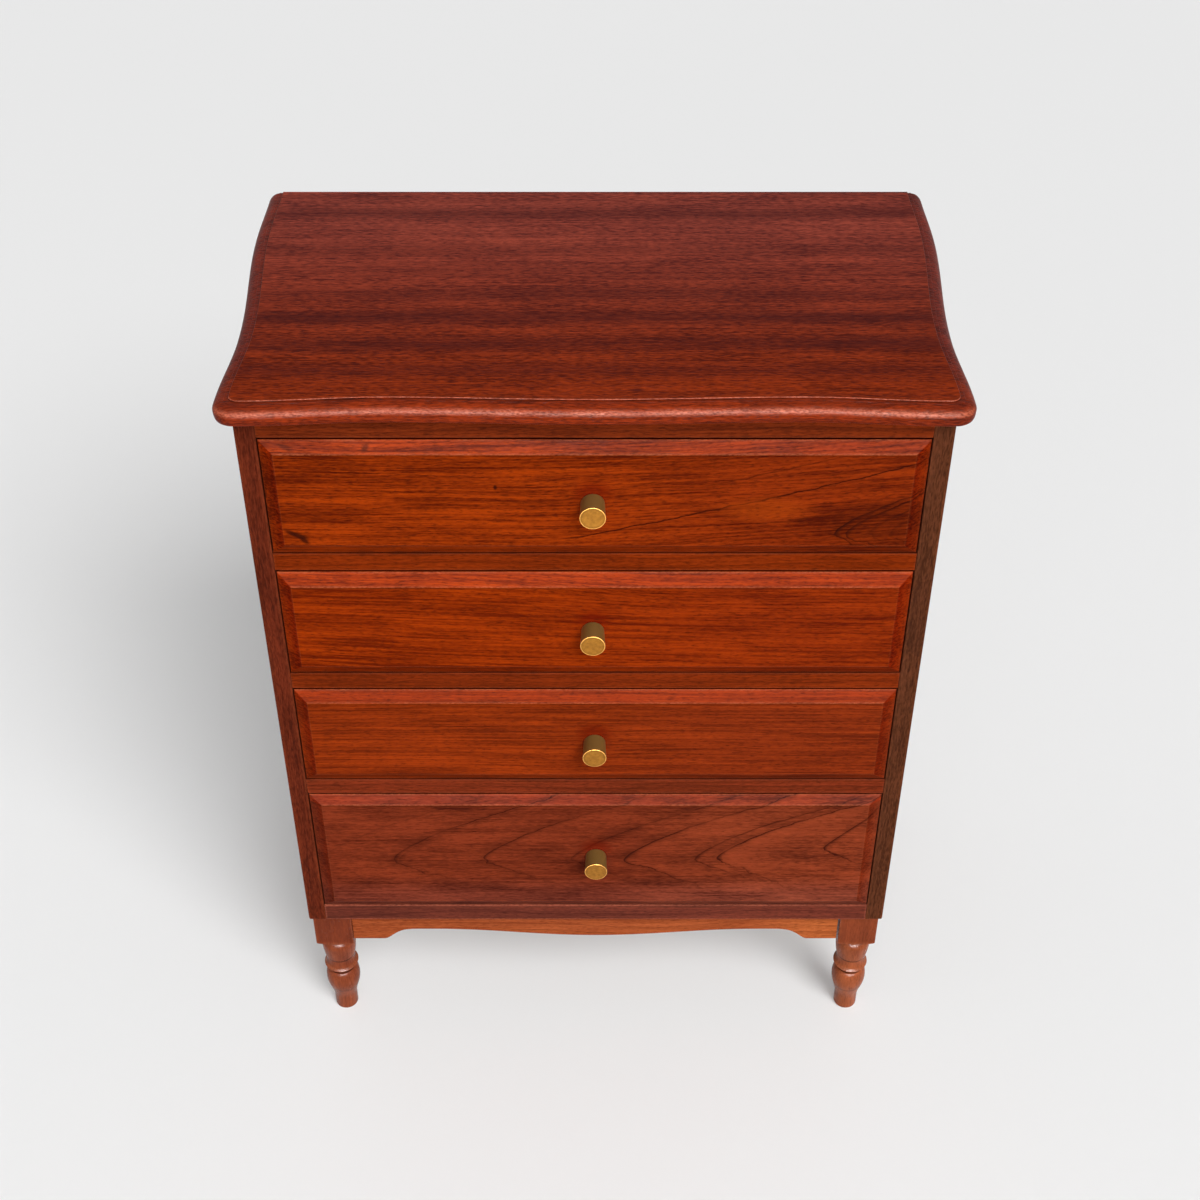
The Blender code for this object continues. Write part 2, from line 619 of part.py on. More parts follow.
def build_drawer(number, finishes, case):
    """One drawer: fielded front, dovetailed sides, housed back, grooved-in bottom, knob and screw."""
    opening = OPENINGS[number - 1]
    name = f"drawer_{number}"
    slide = make_empty(f"{name}_slide", (0.0, 0.0, opening_floor(number)), case)
    front_low, front_high = FRONT_FOOT_GAP, opening - FRONT_HEAD_GAP
    side_low, side_high = SEAT_GAP, opening - BOX_HEAD_GAP
    tail_root = FRONT_BACK + SEAT_GAP
    tail_tip = FRONT_BACK - TAIL_LENGTH
    middles = [side_low + middle for middle in tail_middles(side_high - side_low)]
    bottom_top = GROOVE_RISE + BOX_BOTTOM_THICKNESS
    bottom_half = BOX_INNER_HALF + GROOVE_DEPTH - SEAT_GAP
    back_rear = INSIDE_BACK - BOX_BACK_INSET
    back_face = back_rear - BOX_BACK_THICKNESS
    knob_x, knob_drop = KNOB_PLACES[number - 1]
    knob_level = opening / 2 - knob_drop
    timber = finishes["drawer_timber"]

    edge = ((-DRAWER_HALF, front_low), (DRAWER_HALF, front_high))
    field_half = DRAWER_HALF - BEVEL_WIDTH
    field_high = front_high - HEAD_BEVEL_WIDTHS[number - 1]
    field = ((-field_half, front_low + BEVEL_WIDTH), (field_half, field_high))
    stations = ((FRONT_BACK, edge), (FRONT_SET_BACK, edge), (FIELD_PLANE, field))
    rings = [rectangle(1, along, *section) for along, section in stations]
    front = add_solid(f"{name}_front", rings, finishes["front_mahogany"], slide)
    sockets = []
    for sign in (-1, 1):
        ends = (sign * (BOX_INNER_HALF - SEAT_GAP), sign * (DRAWER_HALF + CUT_MARGIN))
        for middle in middles:
            tail = tail_outline(middle, FRONT_BACK + CUT_MARGIN, tail_tip - SEAT_GAP, grown=SEAT_GAP)
            sockets.append([[Vector((along, y, z)) for y, z in tail] for along in ends])
    combine(front, sockets, "DIFFERENCE")
    groove = box_rings(
        (-bottom_half - SEAT_GAP, FRONT_BACK - GROOVE_DEPTH, GROOVE_RISE - SEAT_GAP),
        (bottom_half + SEAT_GAP, FRONT_BACK + CUT_MARGIN, bottom_top + SEAT_GAP),
    )
    combine(front, [groove], "DIFFERENCE")
    hole_radius = KNOB_SCREW_DIAMETER / 2 + SEAT_GAP
    hole = [(hole_radius, -FRONT_BACK - CUT_MARGIN), (hole_radius, CUT_MARGIN - FIELD_PLANE)]
    facing = (math.pi / 2, 0.0, 0.0)
    combine(front, [turning(hole, FITTING_SEGMENTS)], "DIFFERENCE", (knob_x, 0.0, knob_level), facing)

    for side, sign in (("left", -1), ("right", 1)):
        outline = [(INSIDE_BACK, side_high), (INSIDE_BACK, side_low), (tail_root, side_low)]
        for middle in middles:
            outline += tail_outline(middle, tail_root, tail_tip)
        outline.append((tail_root, side_high))
        faces = (sign * BOX_INNER_HALF, sign * DRAWER_HALF)
        rings = [[Vector((along, y, z)) for y, z in outline] for along in faces]
        board = add_solid(f"{name}_{side}_side", rings, timber, slide)
        inside_x = sign * (BOX_INNER_HALF - CUT_MARGIN)
        side_groove = box_rings(
            (inside_x, tail_tip - CUT_MARGIN, GROOVE_RISE - SEAT_GAP),
            (sign * (BOX_INNER_HALF + GROOVE_DEPTH), INSIDE_BACK + CUT_MARGIN, bottom_top + SEAT_GAP),
        )
        combine(board, [side_groove], "DIFFERENCE")
        housing = box_rings(
            (inside_x, back_face - SEAT_GAP, bottom_top),
            (sign * (BOX_INNER_HALF + HOUSING_DEPTH), back_rear + SEAT_GAP, side_high + CUT_MARGIN),
        )
        combine(board, [housing], "DIFFERENCE")

    back_half = BOX_INNER_HALF + HOUSING_DEPTH - SEAT_GAP
    low = Vector((-back_half, back_face, bottom_top + SEAT_GAP))
    high = Vector((back_half, back_rear, side_high - BOX_BACK_DROP))
    add_board(f"{name}_back", low, high, timber, slide)
    low = Vector((-bottom_half, FRONT_BACK - GROOVE_DEPTH + SEAT_GAP, GROOVE_RISE))
    high = Vector((bottom_half, back_rear, bottom_top))
    add_board(f"{name}_bottom", low, high, finishes["back_board"], slide)

    radius = KNOB_DIAMETER / 2
    knob = [
        (hole_radius, KNOB_SCREW_GRIP + SEAT_GAP),
        (hole_radius, 0.0),
        (KNOB_SEAT_DIAMETER / 2, 0.0),
        (radius, KNOB_LENGTH - KNOB_CHAMFER),
        (radius - KNOB_CHAMFER, KNOB_LENGTH),
    ]
    place = (knob_x, KNOB_SEAT, knob_level)
    add_turned(f"{name}_knob", knob, finishes["knob_brass"], slide, place, facing, TURNING_SEGMENTS)
    head = KNOB_SCREW_HEAD_DIAMETER / 2
    shank = KNOB_SCREW_DIAMETER / 2
    head_seat = FRONT_BACK + SEAT_GAP
    screw = [
        (head, -head_seat - KNOB_SCREW_HEAD_HEIGHT),
        (head, -head_seat),
        (shank, -head_seat),
        (shank, KNOB_SCREW_GRIP - KNOB_SEAT),
    ]
    add_turned(f"{name}_knob_screw", screw, finishes["screw_steel"], slide, (knob_x, 0.0, knob_level), facing)


def main():
    """Builds the whole tallboy."""
    clear_scene()
    finishes = make_finishes()
    case = make_empty("case_front", (0.0, FRONT_PLANE_Y, 0.0))
    build_slab(finishes, case)
    build_rails(finishes, case)
    build_bearers(finishes, case)
    build_sides(finishes, case)
    build_back(finishes, case)
    build_legs(finishes, case)
    build_apron(finishes, case)
    for number in range(1, DRAWER_COUNT + 1):
        build_drawer(number, finishes, case)


main()
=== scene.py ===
"""Looks of the tallboy: finer surfaces and wood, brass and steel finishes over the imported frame.

Metres, +Z up, the floor at Z = 0 and the front towards -Y. Each board, leg and knob that shows is a surface
worked out with numpy that stands for its node; what lies inside the case keeps its node and gets a finish.
"""

import logging
import math
from collections.abc import Iterable, Sequence
from dataclasses import dataclass, replace
from enum import Enum

import bpy
import numpy as np
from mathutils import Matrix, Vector


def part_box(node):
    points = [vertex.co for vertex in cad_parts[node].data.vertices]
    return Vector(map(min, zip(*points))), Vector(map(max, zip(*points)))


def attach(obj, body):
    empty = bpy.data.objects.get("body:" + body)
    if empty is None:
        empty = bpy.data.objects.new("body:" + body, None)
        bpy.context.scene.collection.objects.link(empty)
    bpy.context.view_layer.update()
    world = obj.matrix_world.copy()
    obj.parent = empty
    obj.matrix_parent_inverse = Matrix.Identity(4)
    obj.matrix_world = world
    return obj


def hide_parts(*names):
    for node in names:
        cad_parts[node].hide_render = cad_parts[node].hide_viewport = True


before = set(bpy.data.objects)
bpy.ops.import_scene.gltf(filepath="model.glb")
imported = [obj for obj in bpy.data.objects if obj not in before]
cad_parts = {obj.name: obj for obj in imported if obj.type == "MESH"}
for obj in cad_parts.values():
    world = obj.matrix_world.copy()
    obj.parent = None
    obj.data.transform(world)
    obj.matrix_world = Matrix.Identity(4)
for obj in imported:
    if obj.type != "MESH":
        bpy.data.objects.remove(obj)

log = logging.getLogger("tallboy")

Array = np.ndarray
Socket = bpy.types.NodeSocket
Colour = tuple[float, float, float, float]
Point = tuple[float, float, float]
Sockets = bpy.types.bpy_prop_collection

CARCASS = "carcass"
DRAWER_NUMBERS = (1, 2, 3, 4)
ARC_STEPS = 5
# An arc is worn along its points, and the points held on the straights beside it aren't.
ARC_WEAR = np.pad(np.ones(ARC_STEPS + 1), 1)
SHARP_ANGLE = math.radians(32)
CURVE_FOOT = 0.04045
CURVE_SLOPE = 12.92
CURVE_OFFSET = 0.055
CURVE_POWER = 2.4


class Axis(Enum):
    """A world axis, as its place in a point."""

    X = 0
    Y = 1
    Z = 2


class Run(Enum):
    """The world axis that a board's length and fibres follow, as the order that makes XYZ of (a, b, run)."""

    X = (2, 0, 1)
    Y = (0, 2, 1)
    Z = (0, 1, 2)

    @property
    def turn(self) -> Point:
        """The Euler angles that lay this run along X."""
        return {Run.X: (0.0, 0.0, 0.0), Run.Y: (0.0, 0.0, -math.pi / 2), Run.Z: (0.0, math.pi / 2, 0.0)}[self]


def shade(red: float, green: float, blue: float) -> Colour:
    """A colour as a screen shows it, made linear by the screen's curve: a straight foot, then a power.

    Args:
        red: Red on the screen, 0 to 255.
        green: Green on the screen.
        blue: Blue on the screen.

    Returns:
        The linear colour, opaque.
    """
    screen = np.array((red, green, blue)) / 255.0
    power = ((screen + CURVE_OFFSET) / (1.0 + CURVE_OFFSET)) ** CURVE_POWER
    linear = np.where(screen <= CURVE_FOOT, screen / CURVE_SLOPE, power)
    return (*(float(part) for part in linear), 1.0)


WHITE = (1.0, 1.0, 1.0, 1.0)
# The dark tone that paints shade into gaps, grooves, recesses and under edges.
PAINTED_SHADE_TONE = shade(16, 6, 4)
END_GRAIN_TINT = (0.66, 0.36, 0.16, 1.0)
# The painted shade just above each knob.
HALO_SIZE = (0.024, 0.030, 0.020)
HALO_STRENGTH = 0.60
HALO_TINT = shade(92, 14, 4)


def eased(start: float, end: float, share: Array) -> Array:
    """A half cosine wave, level at both ends, from start where share is 0 to end where it is 1."""
    return start + (end - start) * (1.0 - np.cos(np.pi * share)) / 2.0


def rise(values: Array, low: float, high: float) -> Array:
    """A smooth step, 3t^2 - 2t^3 with t how far each value has come from low to high."""
    share = np.clip((values - low) / (high - low), 0.0, 1.0)
    return share * share * (3.0 - 2.0 * share)


def table(*columns: Array | float) -> Array:
    """Points, or the rows of a table, from their columns, where a plain number fills its column."""
    return np.stack(np.broadcast_arrays(*columns), axis=-1)


def rectangle(left: float, low: float, right: float, high: float) -> list[tuple[float, float]]:
    """The corners of a rectangle, anticlockwise from the lowest left one."""
    return [(left, low), (right, low), (right, high), (left, high)]


@dataclass
class Outline:
    """A closed outline in a plane: its points, outward directions and how open each point is to wear."""

    points: Array
    normals: Array
    wear: Array


def rounded_outline(corners: Sequence[tuple[float, float]], radius: float, hold: float) -> Outline:
    """An anticlockwise polygon whose corners are arcs, with a point held on the straight beside each arc.

    At a corner that turns by a, the arc of radius r starts r tan(a / 2) before the corner. Its centre lies r
    to the inner side of the path there, and its points are the centre less r times the inner direction,
    turned by 0 to a.

    Args:
        corners: The polygon's corners.
        radius: Radius of every arc.
        hold: Distance of the held points from the arcs.

    Returns:
        The outline, worn only where it turns outwards.
    """
    corner = np.asarray(corners, dtype=float)
    arriving = corner - np.roll(corner, 1, axis=0)
    arriving /= np.linalg.norm(arriving, axis=1, keepdims=True)
    leaving = np.roll(arriving, -1, axis=0)
    cross = arriving[:, 0] * leaving[:, 1] - arriving[:, 1] * leaving[:, 0]
    turn = np.arctan2(cross, (arriving * leaving).sum(axis=1))
    bend = np.sign(turn)[:, None] * radius
    inward = table(-arriving[:, 1], arriving[:, 0])
    centre = corner - arriving * (radius * np.tan(np.abs(turn) / 2))[:, None] + inward * bend
    angle = turn[:, None] * np.linspace(0.0, 1.0, ARC_STEPS + 1)
    facing = table(
        inward[:, :1] * np.cos(angle) - inward[:, 1:] * np.sin(angle),
        inward[:, :1] * np.sin(angle) + inward[:, 1:] * np.cos(angle),
    )
    arc = centre[:, None] - facing * bend[:, None]
    before = arc[:, :1] - arriving[:, None] * hold
    after = arc[:, -1:] + leaving[:, None] * hold
    points = np.concatenate((before, arc, after), axis=1).reshape(-1, 2)
    normals = -np.concatenate((facing[:, :1], facing, facing[:, -1:]), axis=1).reshape(-1, 2)
    return Outline(points, normals, (ARC_WEAR * (turn > 0)[:, None]).ravel())


@dataclass
class Loft:
    """A closed skin: rows of rings with the same number of points, shut by a pole at each end.

    Its traits give a number to each point: the wear trait is 1 on arrises, which are rubbed and on some
    pieces carry a painted highlight; lathe is the distance along a turned profile; end_grain is 1 where the
    fibres are cut across; and the shade trait is 1 where shade is painted into joints, gaps, grooves and
    recesses.
    """

    rings: Array
    traits: dict[str, Array]

    def faces(self) -> tuple[Array, Array]:
        """Joins neighbouring rings by quads, and the first and last ring to their poles by triangles.

        Returns:
            The quads' and the triangles' vertex numbers, turned so that the faces point outwards.
        """
        rows, columns = self.rings.shape[:2]
        place = np.arange(rows * columns).reshape(rows, columns)
        beside = np.roll(place, -1, axis=1)
        quads = table(place[:-1], beside[:-1], beside[1:], place[1:]).reshape(-1, 4)
        first = table(beside[0], place[0], rows * columns)
        last = table(place[-1], beside[-1], rows * columns + 1)
        triangles = np.concatenate((first, last))
        vertices = self.vertices() - self.rings.mean(axis=(0, 1))
        halves = np.concatenate((quads[:, :3], quads[:, (0, 2, 3)], triangles))
        a, b, c = vertices[halves].transpose(1, 0, 2)
        if (a * np.cross(b, c)).sum() < 0.0:
            return quads[:, ::-1], triangles[:, ::-1]
        return quads, triangles

    def vertices(self) -> Array:
        """The rings' points in order, then the two poles, each at the middle of its end ring."""
        poles = self.rings[[0, -1]].mean(axis=1)
        return np.concatenate((self.rings.reshape(-1, 3), poles))

    def mesh(self, name: str) -> bpy.types.Mesh:
        """Puts the skin into a mesh, smooth apart from its sharp arrises.

        Args:
            name: The mesh's name.

        Returns:
            The mesh, with the traits as point attributes.
        """
        quads, triangles = self.faces()
        vertices = self.vertices()
        corners = np.concatenate((quads.ravel(), triangles.ravel()))
        sizes = np.concatenate((np.full(len(quads), 4), np.full(len(triangles), 3)))
        mesh = bpy.data.meshes.new(name)
        mesh.vertices.add(len(vertices))
        mesh.vertices.foreach_set("co", vertices.astype(np.float32).ravel())
        mesh.loops.add(len(corners))
        mesh.loops.foreach_set("vertex_index", corners.astype(np.int32))
        mesh.polygons.add(len(sizes))
        mesh.polygons.foreach_set("loop_start", (np.cumsum(sizes) - sizes).astype(np.int32))
        mesh.update(calc_edges=True)
        for trait, values in self.traits.items():
            self.add_attribute(mesh, trait, values)
        mesh.shade_smooth()
        mesh.set_sharp_from_angle(angle=SHARP_ANGLE)
        return mesh

    def add_attribute(self, mesh: bpy.types.Mesh, name: str, values: Array) -> None:
        """Writes one number for each point, with each pole's taken from its ring.

        Args:
            mesh: The mesh to write to.
            name: The attribute's name.
            values: The numbers, shaped like the rings.
        """
        ends = values[[0, -1]].mean(axis=1)
        data = mesh.attributes.new(name, "FLOAT", "POINT").data
        data.foreach_set("value", np.concatenate((values.ravel(), ends)).astype(np.float32))


@dataclass
class Arris:
    """How a board's end turns into its sides: a quarter round between two rings held on the flats."""

    radius: Array | float
    hold: float

    def steps(self, columns: int) -> tuple[Array, Array]:
        """Insets 1 - sin t and advances 1 - cos t of the radius, t up to a right angle, and the held rings.

        Args:
            columns: Number of points around the board.

        Returns:
            The inset and the advance of each point of each ring from the end inwards.
        """
        turn = np.linspace(0.0, np.pi / 2, ARC_STEPS + 1)
        radius = np.broadcast_to(self.radius, (columns,))
        inset = np.concatenate(([1.0], 1.0 - np.sin(turn), [0.0]))[:, None] * radius
        advance = np.concatenate(([0.0], 1.0 - np.cos(turn), [1.0]))[:, None] * radius
        inset[0] += self.hold
        advance[-1] += self.hold
        return inset, advance


def prism(outline: Outline, run: Run, start: float, end: float, first: Arris, last: Arris) -> Loft:
    """A board: an outline carried straight along an axis, drawn in along its own normals at both ends.

    Args:
        outline: The section.
        run: The axis that the section is carried along.
        start: Where the board starts on that axis.
        end: Where it ends.
        first: How its start is rounded.
        last: How its end is rounded.

    Returns:
        The board's skin.
    """
    columns = len(outline.points)
    inset_first, advance_first = first.steps(columns)
    inset_last, advance_last = last.steps(columns)
    inset = np.concatenate((inset_first, inset_last[::-1]))
    level = np.concatenate((start + advance_first, end - advance_last[::-1]))
    section = outline.points - outline.normals * inset[..., None]
    rings = table(section[..., 0], section[..., 1], level)[..., list(run.value)]
    wear = np.maximum(np.tile(ARC_WEAR, 2)[:, None], outline.wear)
    return Loft(rings, {"wear": wear})


def turned(profile: Array, angles: Array) -> tuple[Array, Array]:
    """Rings of a turned shape: each (radius, level) pair becomes radius cos a, radius sin a, level.

    Args:
        profile: Rows of radius and level.
        angles: The angles of the points of a ring.

    Returns:
        The rings about the Z axis, and the distance along the profile at each ring.
    """
    radius, level = profile.T[..., None]
    rings = table(radius * np.cos(angles), radius * np.sin(angles), level)
    steps = np.hypot(*np.diff(profile, axis=0).T)
    return rings, np.concatenate(([0.0], np.cumsum(steps)))


def put_in_scene(name: str, data: bpy.types.ID) -> bpy.types.Object:
    """Adds an object that holds a mesh, a lamp or a camera.

    Args:
        name: The object's name.
        data: What it holds.

    Returns:
        The new object.
    """
    thing = bpy.data.objects.new(name, data)
    bpy.context.scene.collection.objects.link(thing)
    return thing


def add_piece(
    name: str, loft: Loft, material: bpy.types.Material, body: str, nodes: Iterable[str]
) -> bpy.types.Object:
    """Adds one finished piece, which rides on a body and stands for nodes of the frame.

    Args:
        name: The piece's name.
        loft: Its skin, in place.
        material: Its finish.
        body: The body that it moves with.
        nodes: The nodes that it stands for.

    Returns:
        The new object.
    """
    mesh = loft.mesh(name)
    mesh.materials.append(material)
    piece = put_in_scene(name, mesh)
    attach(piece, body)
    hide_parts(*nodes)
    log.info("%s: %d points on %s", name, len(mesh.vertices), body)
    return piece


class Bench:
    """Adds and joins the nodes of one shader tree."""

    def __init__(self, tree: bpy.types.NodeTree) -> None:
        """Takes the tree to work on."""
        self.tree = tree

    def add(self, kind: str, inputs: dict | None = None, **settings: object) -> bpy.types.Node:
        """Adds a node, sets it up and feeds its inputs.

        Args:
            kind: The node's type, without its ShaderNode prefix.
            inputs: A value or a socket for each named or numbered input.
            **settings: The node's own properties.

        Returns:
            The node.
        """
        node = self.tree.nodes.new(f"ShaderNode{kind}")
        for name, value in settings.items():
            setattr(node, name, value)
        self.feed(node, inputs or {})
        return node

    def feed(self, node: bpy.types.Node, inputs: dict) -> None:
        """Links sockets to, or sets plain values on, the inputs of a node.

        Args:
            node: The node.
            inputs: A value or a socket for each named or numbered input.
        """
        for name, value in inputs.items():
            if isinstance(value, Socket):
                self.tree.links.new(value, node.inputs[name])
            else:
                node.inputs[name].default_value = value

    def maths(self, operation: str, *values: object, clamp: bool = False) -> Socket:
        """One arithmetic step on numbers or sockets, kept within 0 to 1 where clamp is set."""
        return self.add("Math", dict(enumerate(values)), operation=operation, use_clamp=clamp).outputs[0]

    def group(self, tree: bpy.types.NodeTree, **inputs: object) -> Sockets:
        """Places a shared effect, feeds its inputs by name and gives its outputs."""
        return self.add("Group", inputs, node_tree=tree).outputs

    def trait(self, name: str) -> Socket:
        """A number that the mesh carries at each of its points."""
        return self.add("Attribute", attribute_name=name).outputs["Fac"]

    def spread(
        self, value: Socket, low: float, high: float, to_low: float = 0.0, to_high: float = 1.0
    ) -> Socket:
        """Carries the range from low to high onto the range from to_low to to_high, and keeps within it."""
        ends = {"Value": value, "From Min": low, "From Max": high, "To Min": to_low, "To Max": to_high}
        return self.add("MapRange", ends).outputs[0]

    def mix(self, share: Socket | float, first: object, second: object, blend: str = "MIX") -> Socket:
        """Lays a share, 0 to 1, of a second colour over a first, by the way of blending that is named."""
        inputs = {0: share, 6: first, 7: second}
        return self.add("Mix", inputs, data_type="RGBA", blend_type=blend).outputs[2]

    def ramp(self, value: Socket, stops: Sequence[tuple[float, float]], smooth: bool = False) -> Socket:
        """Heights along a line of stops.

        Args:
            value: Where along the stops, 0 to 1.
            stops: Position and height of each stop, in order.
            smooth: Whether heights ease from stop to stop.

        Returns:
            The height at the value.
        """
        node = self.add("ValToRGB", {0: value})
        band = node.color_ramp
        band.interpolation = "EASE" if smooth else "LINEAR"
        while len(band.elements) < len(stops):
            band.elements.new(1.0)
        for element, (position, height) in zip(band.elements, stops):
            element.position = position
            element.color = (height, height, height, 1.0)
        return node.outputs[0]

    def line(self, value: Socket, place: float, lead: float, trail: float, strength: float) -> Socket:
        """A line that rises to its strength at a place and fades past it.

        Args:
            value: What the line is drawn on.
            place: Where it is strongest.
            lead: How far before its place it starts.
            trail: How far past its place it has faded.
            strength: Its height.

        Returns:
            The line's height at the value.
        """
        before = self.spread(value, place - lead, place, 0.0, strength)
        after = self.spread(value, place, place + trail, strength, 0.0)
        return self.maths("MINIMUM", before, after)


def start_material(name: str) -> tuple[bpy.types.Material, Bench, bpy.types.Node]:
    """Starts a material.

    Args:
        name: The material's name.

    Returns:
        The material, the bench that its nodes are added on, and its shader.
    """
    material = bpy.data.materials.new(name)
    material.use_nodes = True
    return material, Bench(material.node_tree), material.node_tree.nodes["Principled BSDF"]


@dataclass(frozen=True)
class Noise:
    """Noise drawn out along the fibres, and a span of it that may be carried onto another range.

    It has so many features to a metre along and across the fibres, and so many octaves of finer noise.
    """

    along: float
    across: float
    detail: float
    span: tuple[float, float] = (0.0, 1.0)
    onto: tuple[float, float] = (0.0, 1.0)

    def draw(self, bench: Bench, vector: Socket) -> Socket:
        """Draws the noise, about 0.5.

        Args:
            bench: The nodes to add to.
            vector: The coordinates, with the fibres along X.

        Returns:
            The noise.
        """
        scale = (self.along, self.across, self.across)
        scaled = bench.add("VectorMath", {0: vector, 1: scale}, operation="MULTIPLY").outputs[0]
        return bench.add("TexNoise", {"Vector": scaled, "Scale": 1.0, "Detail": self.detail}).outputs[0]

    def patches(self, bench: Bench, vector: Socket) -> Socket:
        """Draws the noise with its span carried onto the other range, and kept within it."""
        return bench.spread(self.draw(bench, vector), *self.span, *self.onto)


TONE_LAYERS = {
    "Broad": Noise(1.3, 11.0, 2.0),
    "Mottle": Noise(11.0, 46.0, 3.0),
    "Streak": Noise(5.0, 400.0, 3.0),
    "Fleck": Noise(105.0, 620.0, 2.0),
}
PORES = Noise(130.0, 640.0, 2.0, span=(0.54, 0.68))
LONG_BENDS = Noise(3.5, 9.0, 1.0)
SHORT_WOBBLE = Noise(45.0, 80.0, 3.0)
WEAR_AND_SHEEN_PATCHES = Noise(26.0, 60.0, 3.0, span=(0.36, 0.62), onto=(0.5, 1.0))
WEAR_AND_SHEEN_GRIT = Noise(260.0, 700.0, 1.0, span=(0.36, 0.64), onto=(0.3, 1.0))
BROAD_SMEARS = Noise(4.0, 7.0, 3.0)
SMALL_RUBS = Noise(60.0, 130.0, 2.0)
RUB_SHARE = 0.4
SMEAR_SHARE = 0.6
POLISH_LOW = 0.3
POLISH_HIGH = 0.7
TOOL_LINE_DETAIL = 2.0


Opened = tuple[Bench, Sockets, bpy.types.Node]


class Effects:
    """The node groups that several finishes share, each built once."""

    VECTOR = "NodeSocketVector"
    NUMBER = "NodeSocketFloat"

    def __init__(self) -> None:
        """Builds every group."""
        self.fibre = self._fibre()
        self.wander = self._wander()
        self.rings = self._rings()
        self.wear = self._wear()
        self.polish = self._polish()
        self.turning = self._turning()

    def _open(self, name: str, vector: bool, numbers: Sequence[str], outputs: Sequence[str]) -> Opened:
        """Starts a group and makes its sockets.

        Args:
            name: The group's name.
            vector: Whether it takes coordinates.
            numbers: Names of the numbers that it takes.
            outputs: Names of the values that it puts out.

        Returns:
            The bench, the sockets that come in and the node that puts the values out.
        """
        tree = bpy.data.node_groups.new(name, "ShaderNodeTree")
        taken = [("Vector", self.VECTOR)] if vector else []
        taken += [(title, self.NUMBER) for title in numbers]
        for title, kind in taken:
            tree.interface.new_socket(name=title, in_out="INPUT", socket_type=kind)
        for title in outputs:
            tree.interface.new_socket(name=title, in_out="OUTPUT", socket_type=self.NUMBER)
        given = tree.nodes.new("NodeGroupInput").outputs
        return Bench(tree), given, tree.nodes.new("NodeGroupOutput")

    def _fibre(self) -> bpy.types.NodeTree:
        """Wood fibre: 0.5 plus weighted layers of noise, coarse to fine, as the tone, and short dark pores.

        Returns:
            The group, which puts out the tone, its finest layer and the pores.
        """
        bench, given, result = self._open("wood_fibre", True, tuple(TONE_LAYERS), ("Tone", "Fleck", "Pore"))
        tone: Socket | float = 0.5
        noise = None
        for title, layer in TONE_LAYERS.items():
            noise = layer.draw(bench, given["Vector"])
            tone = bench.maths("MULTIPLY_ADD", bench.maths("SUBTRACT", noise, 0.5), given[title], tone)
        tone = bench.maths("ADD", tone, 0.0, clamp=True)
        bench.feed(result, {"Tone": tone, "Fleck": noise, "Pore": PORES.patches(bench, given["Vector"])})
        return bench.tree

    def _wander(self) -> bpy.types.NodeTree:
        """How far grain strays from its course: a slow and a quick noise about 0, each with its own reach.

        Returns:
            The group, which puts out the distance.
        """
        bench, given, result = self._open("grain_wander", True, ("Slow", "Quick"), ("Wander",))
        slow = bench.maths("SUBTRACT", LONG_BENDS.draw(bench, given["Vector"]), 0.5)
        quick = bench.maths("SUBTRACT", SHORT_WOBBLE.draw(bench, given["Vector"]), 0.5)
        total = bench.maths("MULTIPLY", slow, given["Slow"])
        bench.feed(result, {"Wander": bench.maths("MULTIPLY_ADD", quick, given["Quick"], total)})
        return bench.tree

    def _rings(self) -> bpy.types.NodeTree:
        """Growth lines: the fraction of a ring count raised to a power, so each ring ends in a dark line.

        Returns:
            The group, which puts out the lines' darkness.
        """
        bench, given, result = self._open("growth_rings", False, ("Ring", "Sharpness"), ("Line",))
        share = bench.maths("FRACT", given["Ring"])
        bench.feed(result, {"Line": bench.maths("POWER", share, given["Sharpness"])})
        return bench.tree

    def _wear(self) -> bpy.types.NodeTree:
        """Rubbed arrises and painted highlights: the exposure of the edge, broken up by broad and by fine
        noise.

        Returns:
            The group, which puts out how much rubbed tone and painted highlight each place takes.
        """
        bench, given, result = self._open("arris_wear", True, ("Edge",), ("Rubbed_and_sheen",))
        patch = WEAR_AND_SHEEN_PATCHES.patches(bench, given["Vector"])
        broken = bench.maths("MULTIPLY", patch, WEAR_AND_SHEEN_GRIT.patches(bench, given["Vector"]))
        bench.feed(result, {"Rubbed_and_sheen": bench.maths("MULTIPLY", given["Edge"], broken)})
        return bench.tree

    def _polish(self) -> bpy.types.NodeTree:
        """Hand polish: broad smears and small rubs, as a dullness from 0 to 1.

        Returns:
            The group, which puts out the dullness.
        """
        bench, given, result = self._open("hand_polish", True, (), ("Dull",))
        smears = bench.maths("MULTIPLY", BROAD_SMEARS.draw(bench, given["Vector"]), SMEAR_SHARE)
        rubs = SMALL_RUBS.draw(bench, given["Vector"])
        mixed = bench.maths("MULTIPLY_ADD", rubs, RUB_SHARE, smears)
        bench.feed(result, {"Dull": bench.spread(mixed, POLISH_LOW, POLISH_HIGH)})
        return bench.tree

    def _turning(self) -> bpy.types.NodeTree:
        """Tool lines left by the lathe: noise in one dimension along the turned profile.

        Returns:
            The group, which puts out the lines' height.
        """
        bench, given, result = self._open("lathe_lines", False, ("Distance", "Pitch"), ("Line",))
        place = bench.maths("DIVIDE", given["Distance"], given["Pitch"])
        inputs = {"W": place, "Scale": 1.0, "Detail": TOOL_LINE_DETAIL}
        bench.feed(result, {"Line": bench.add("TexNoise", inputs, noise_dimensions="1D").outputs[0]})
        return bench.tree


EFFECTS = Effects()


@dataclass(frozen=True)
class Grain:
    """What a figure is drawn on: the coordinates with the fibres along X, and their parts."""

    vector: Socket
    along: Socket
    depth: Socket
    across: Socket


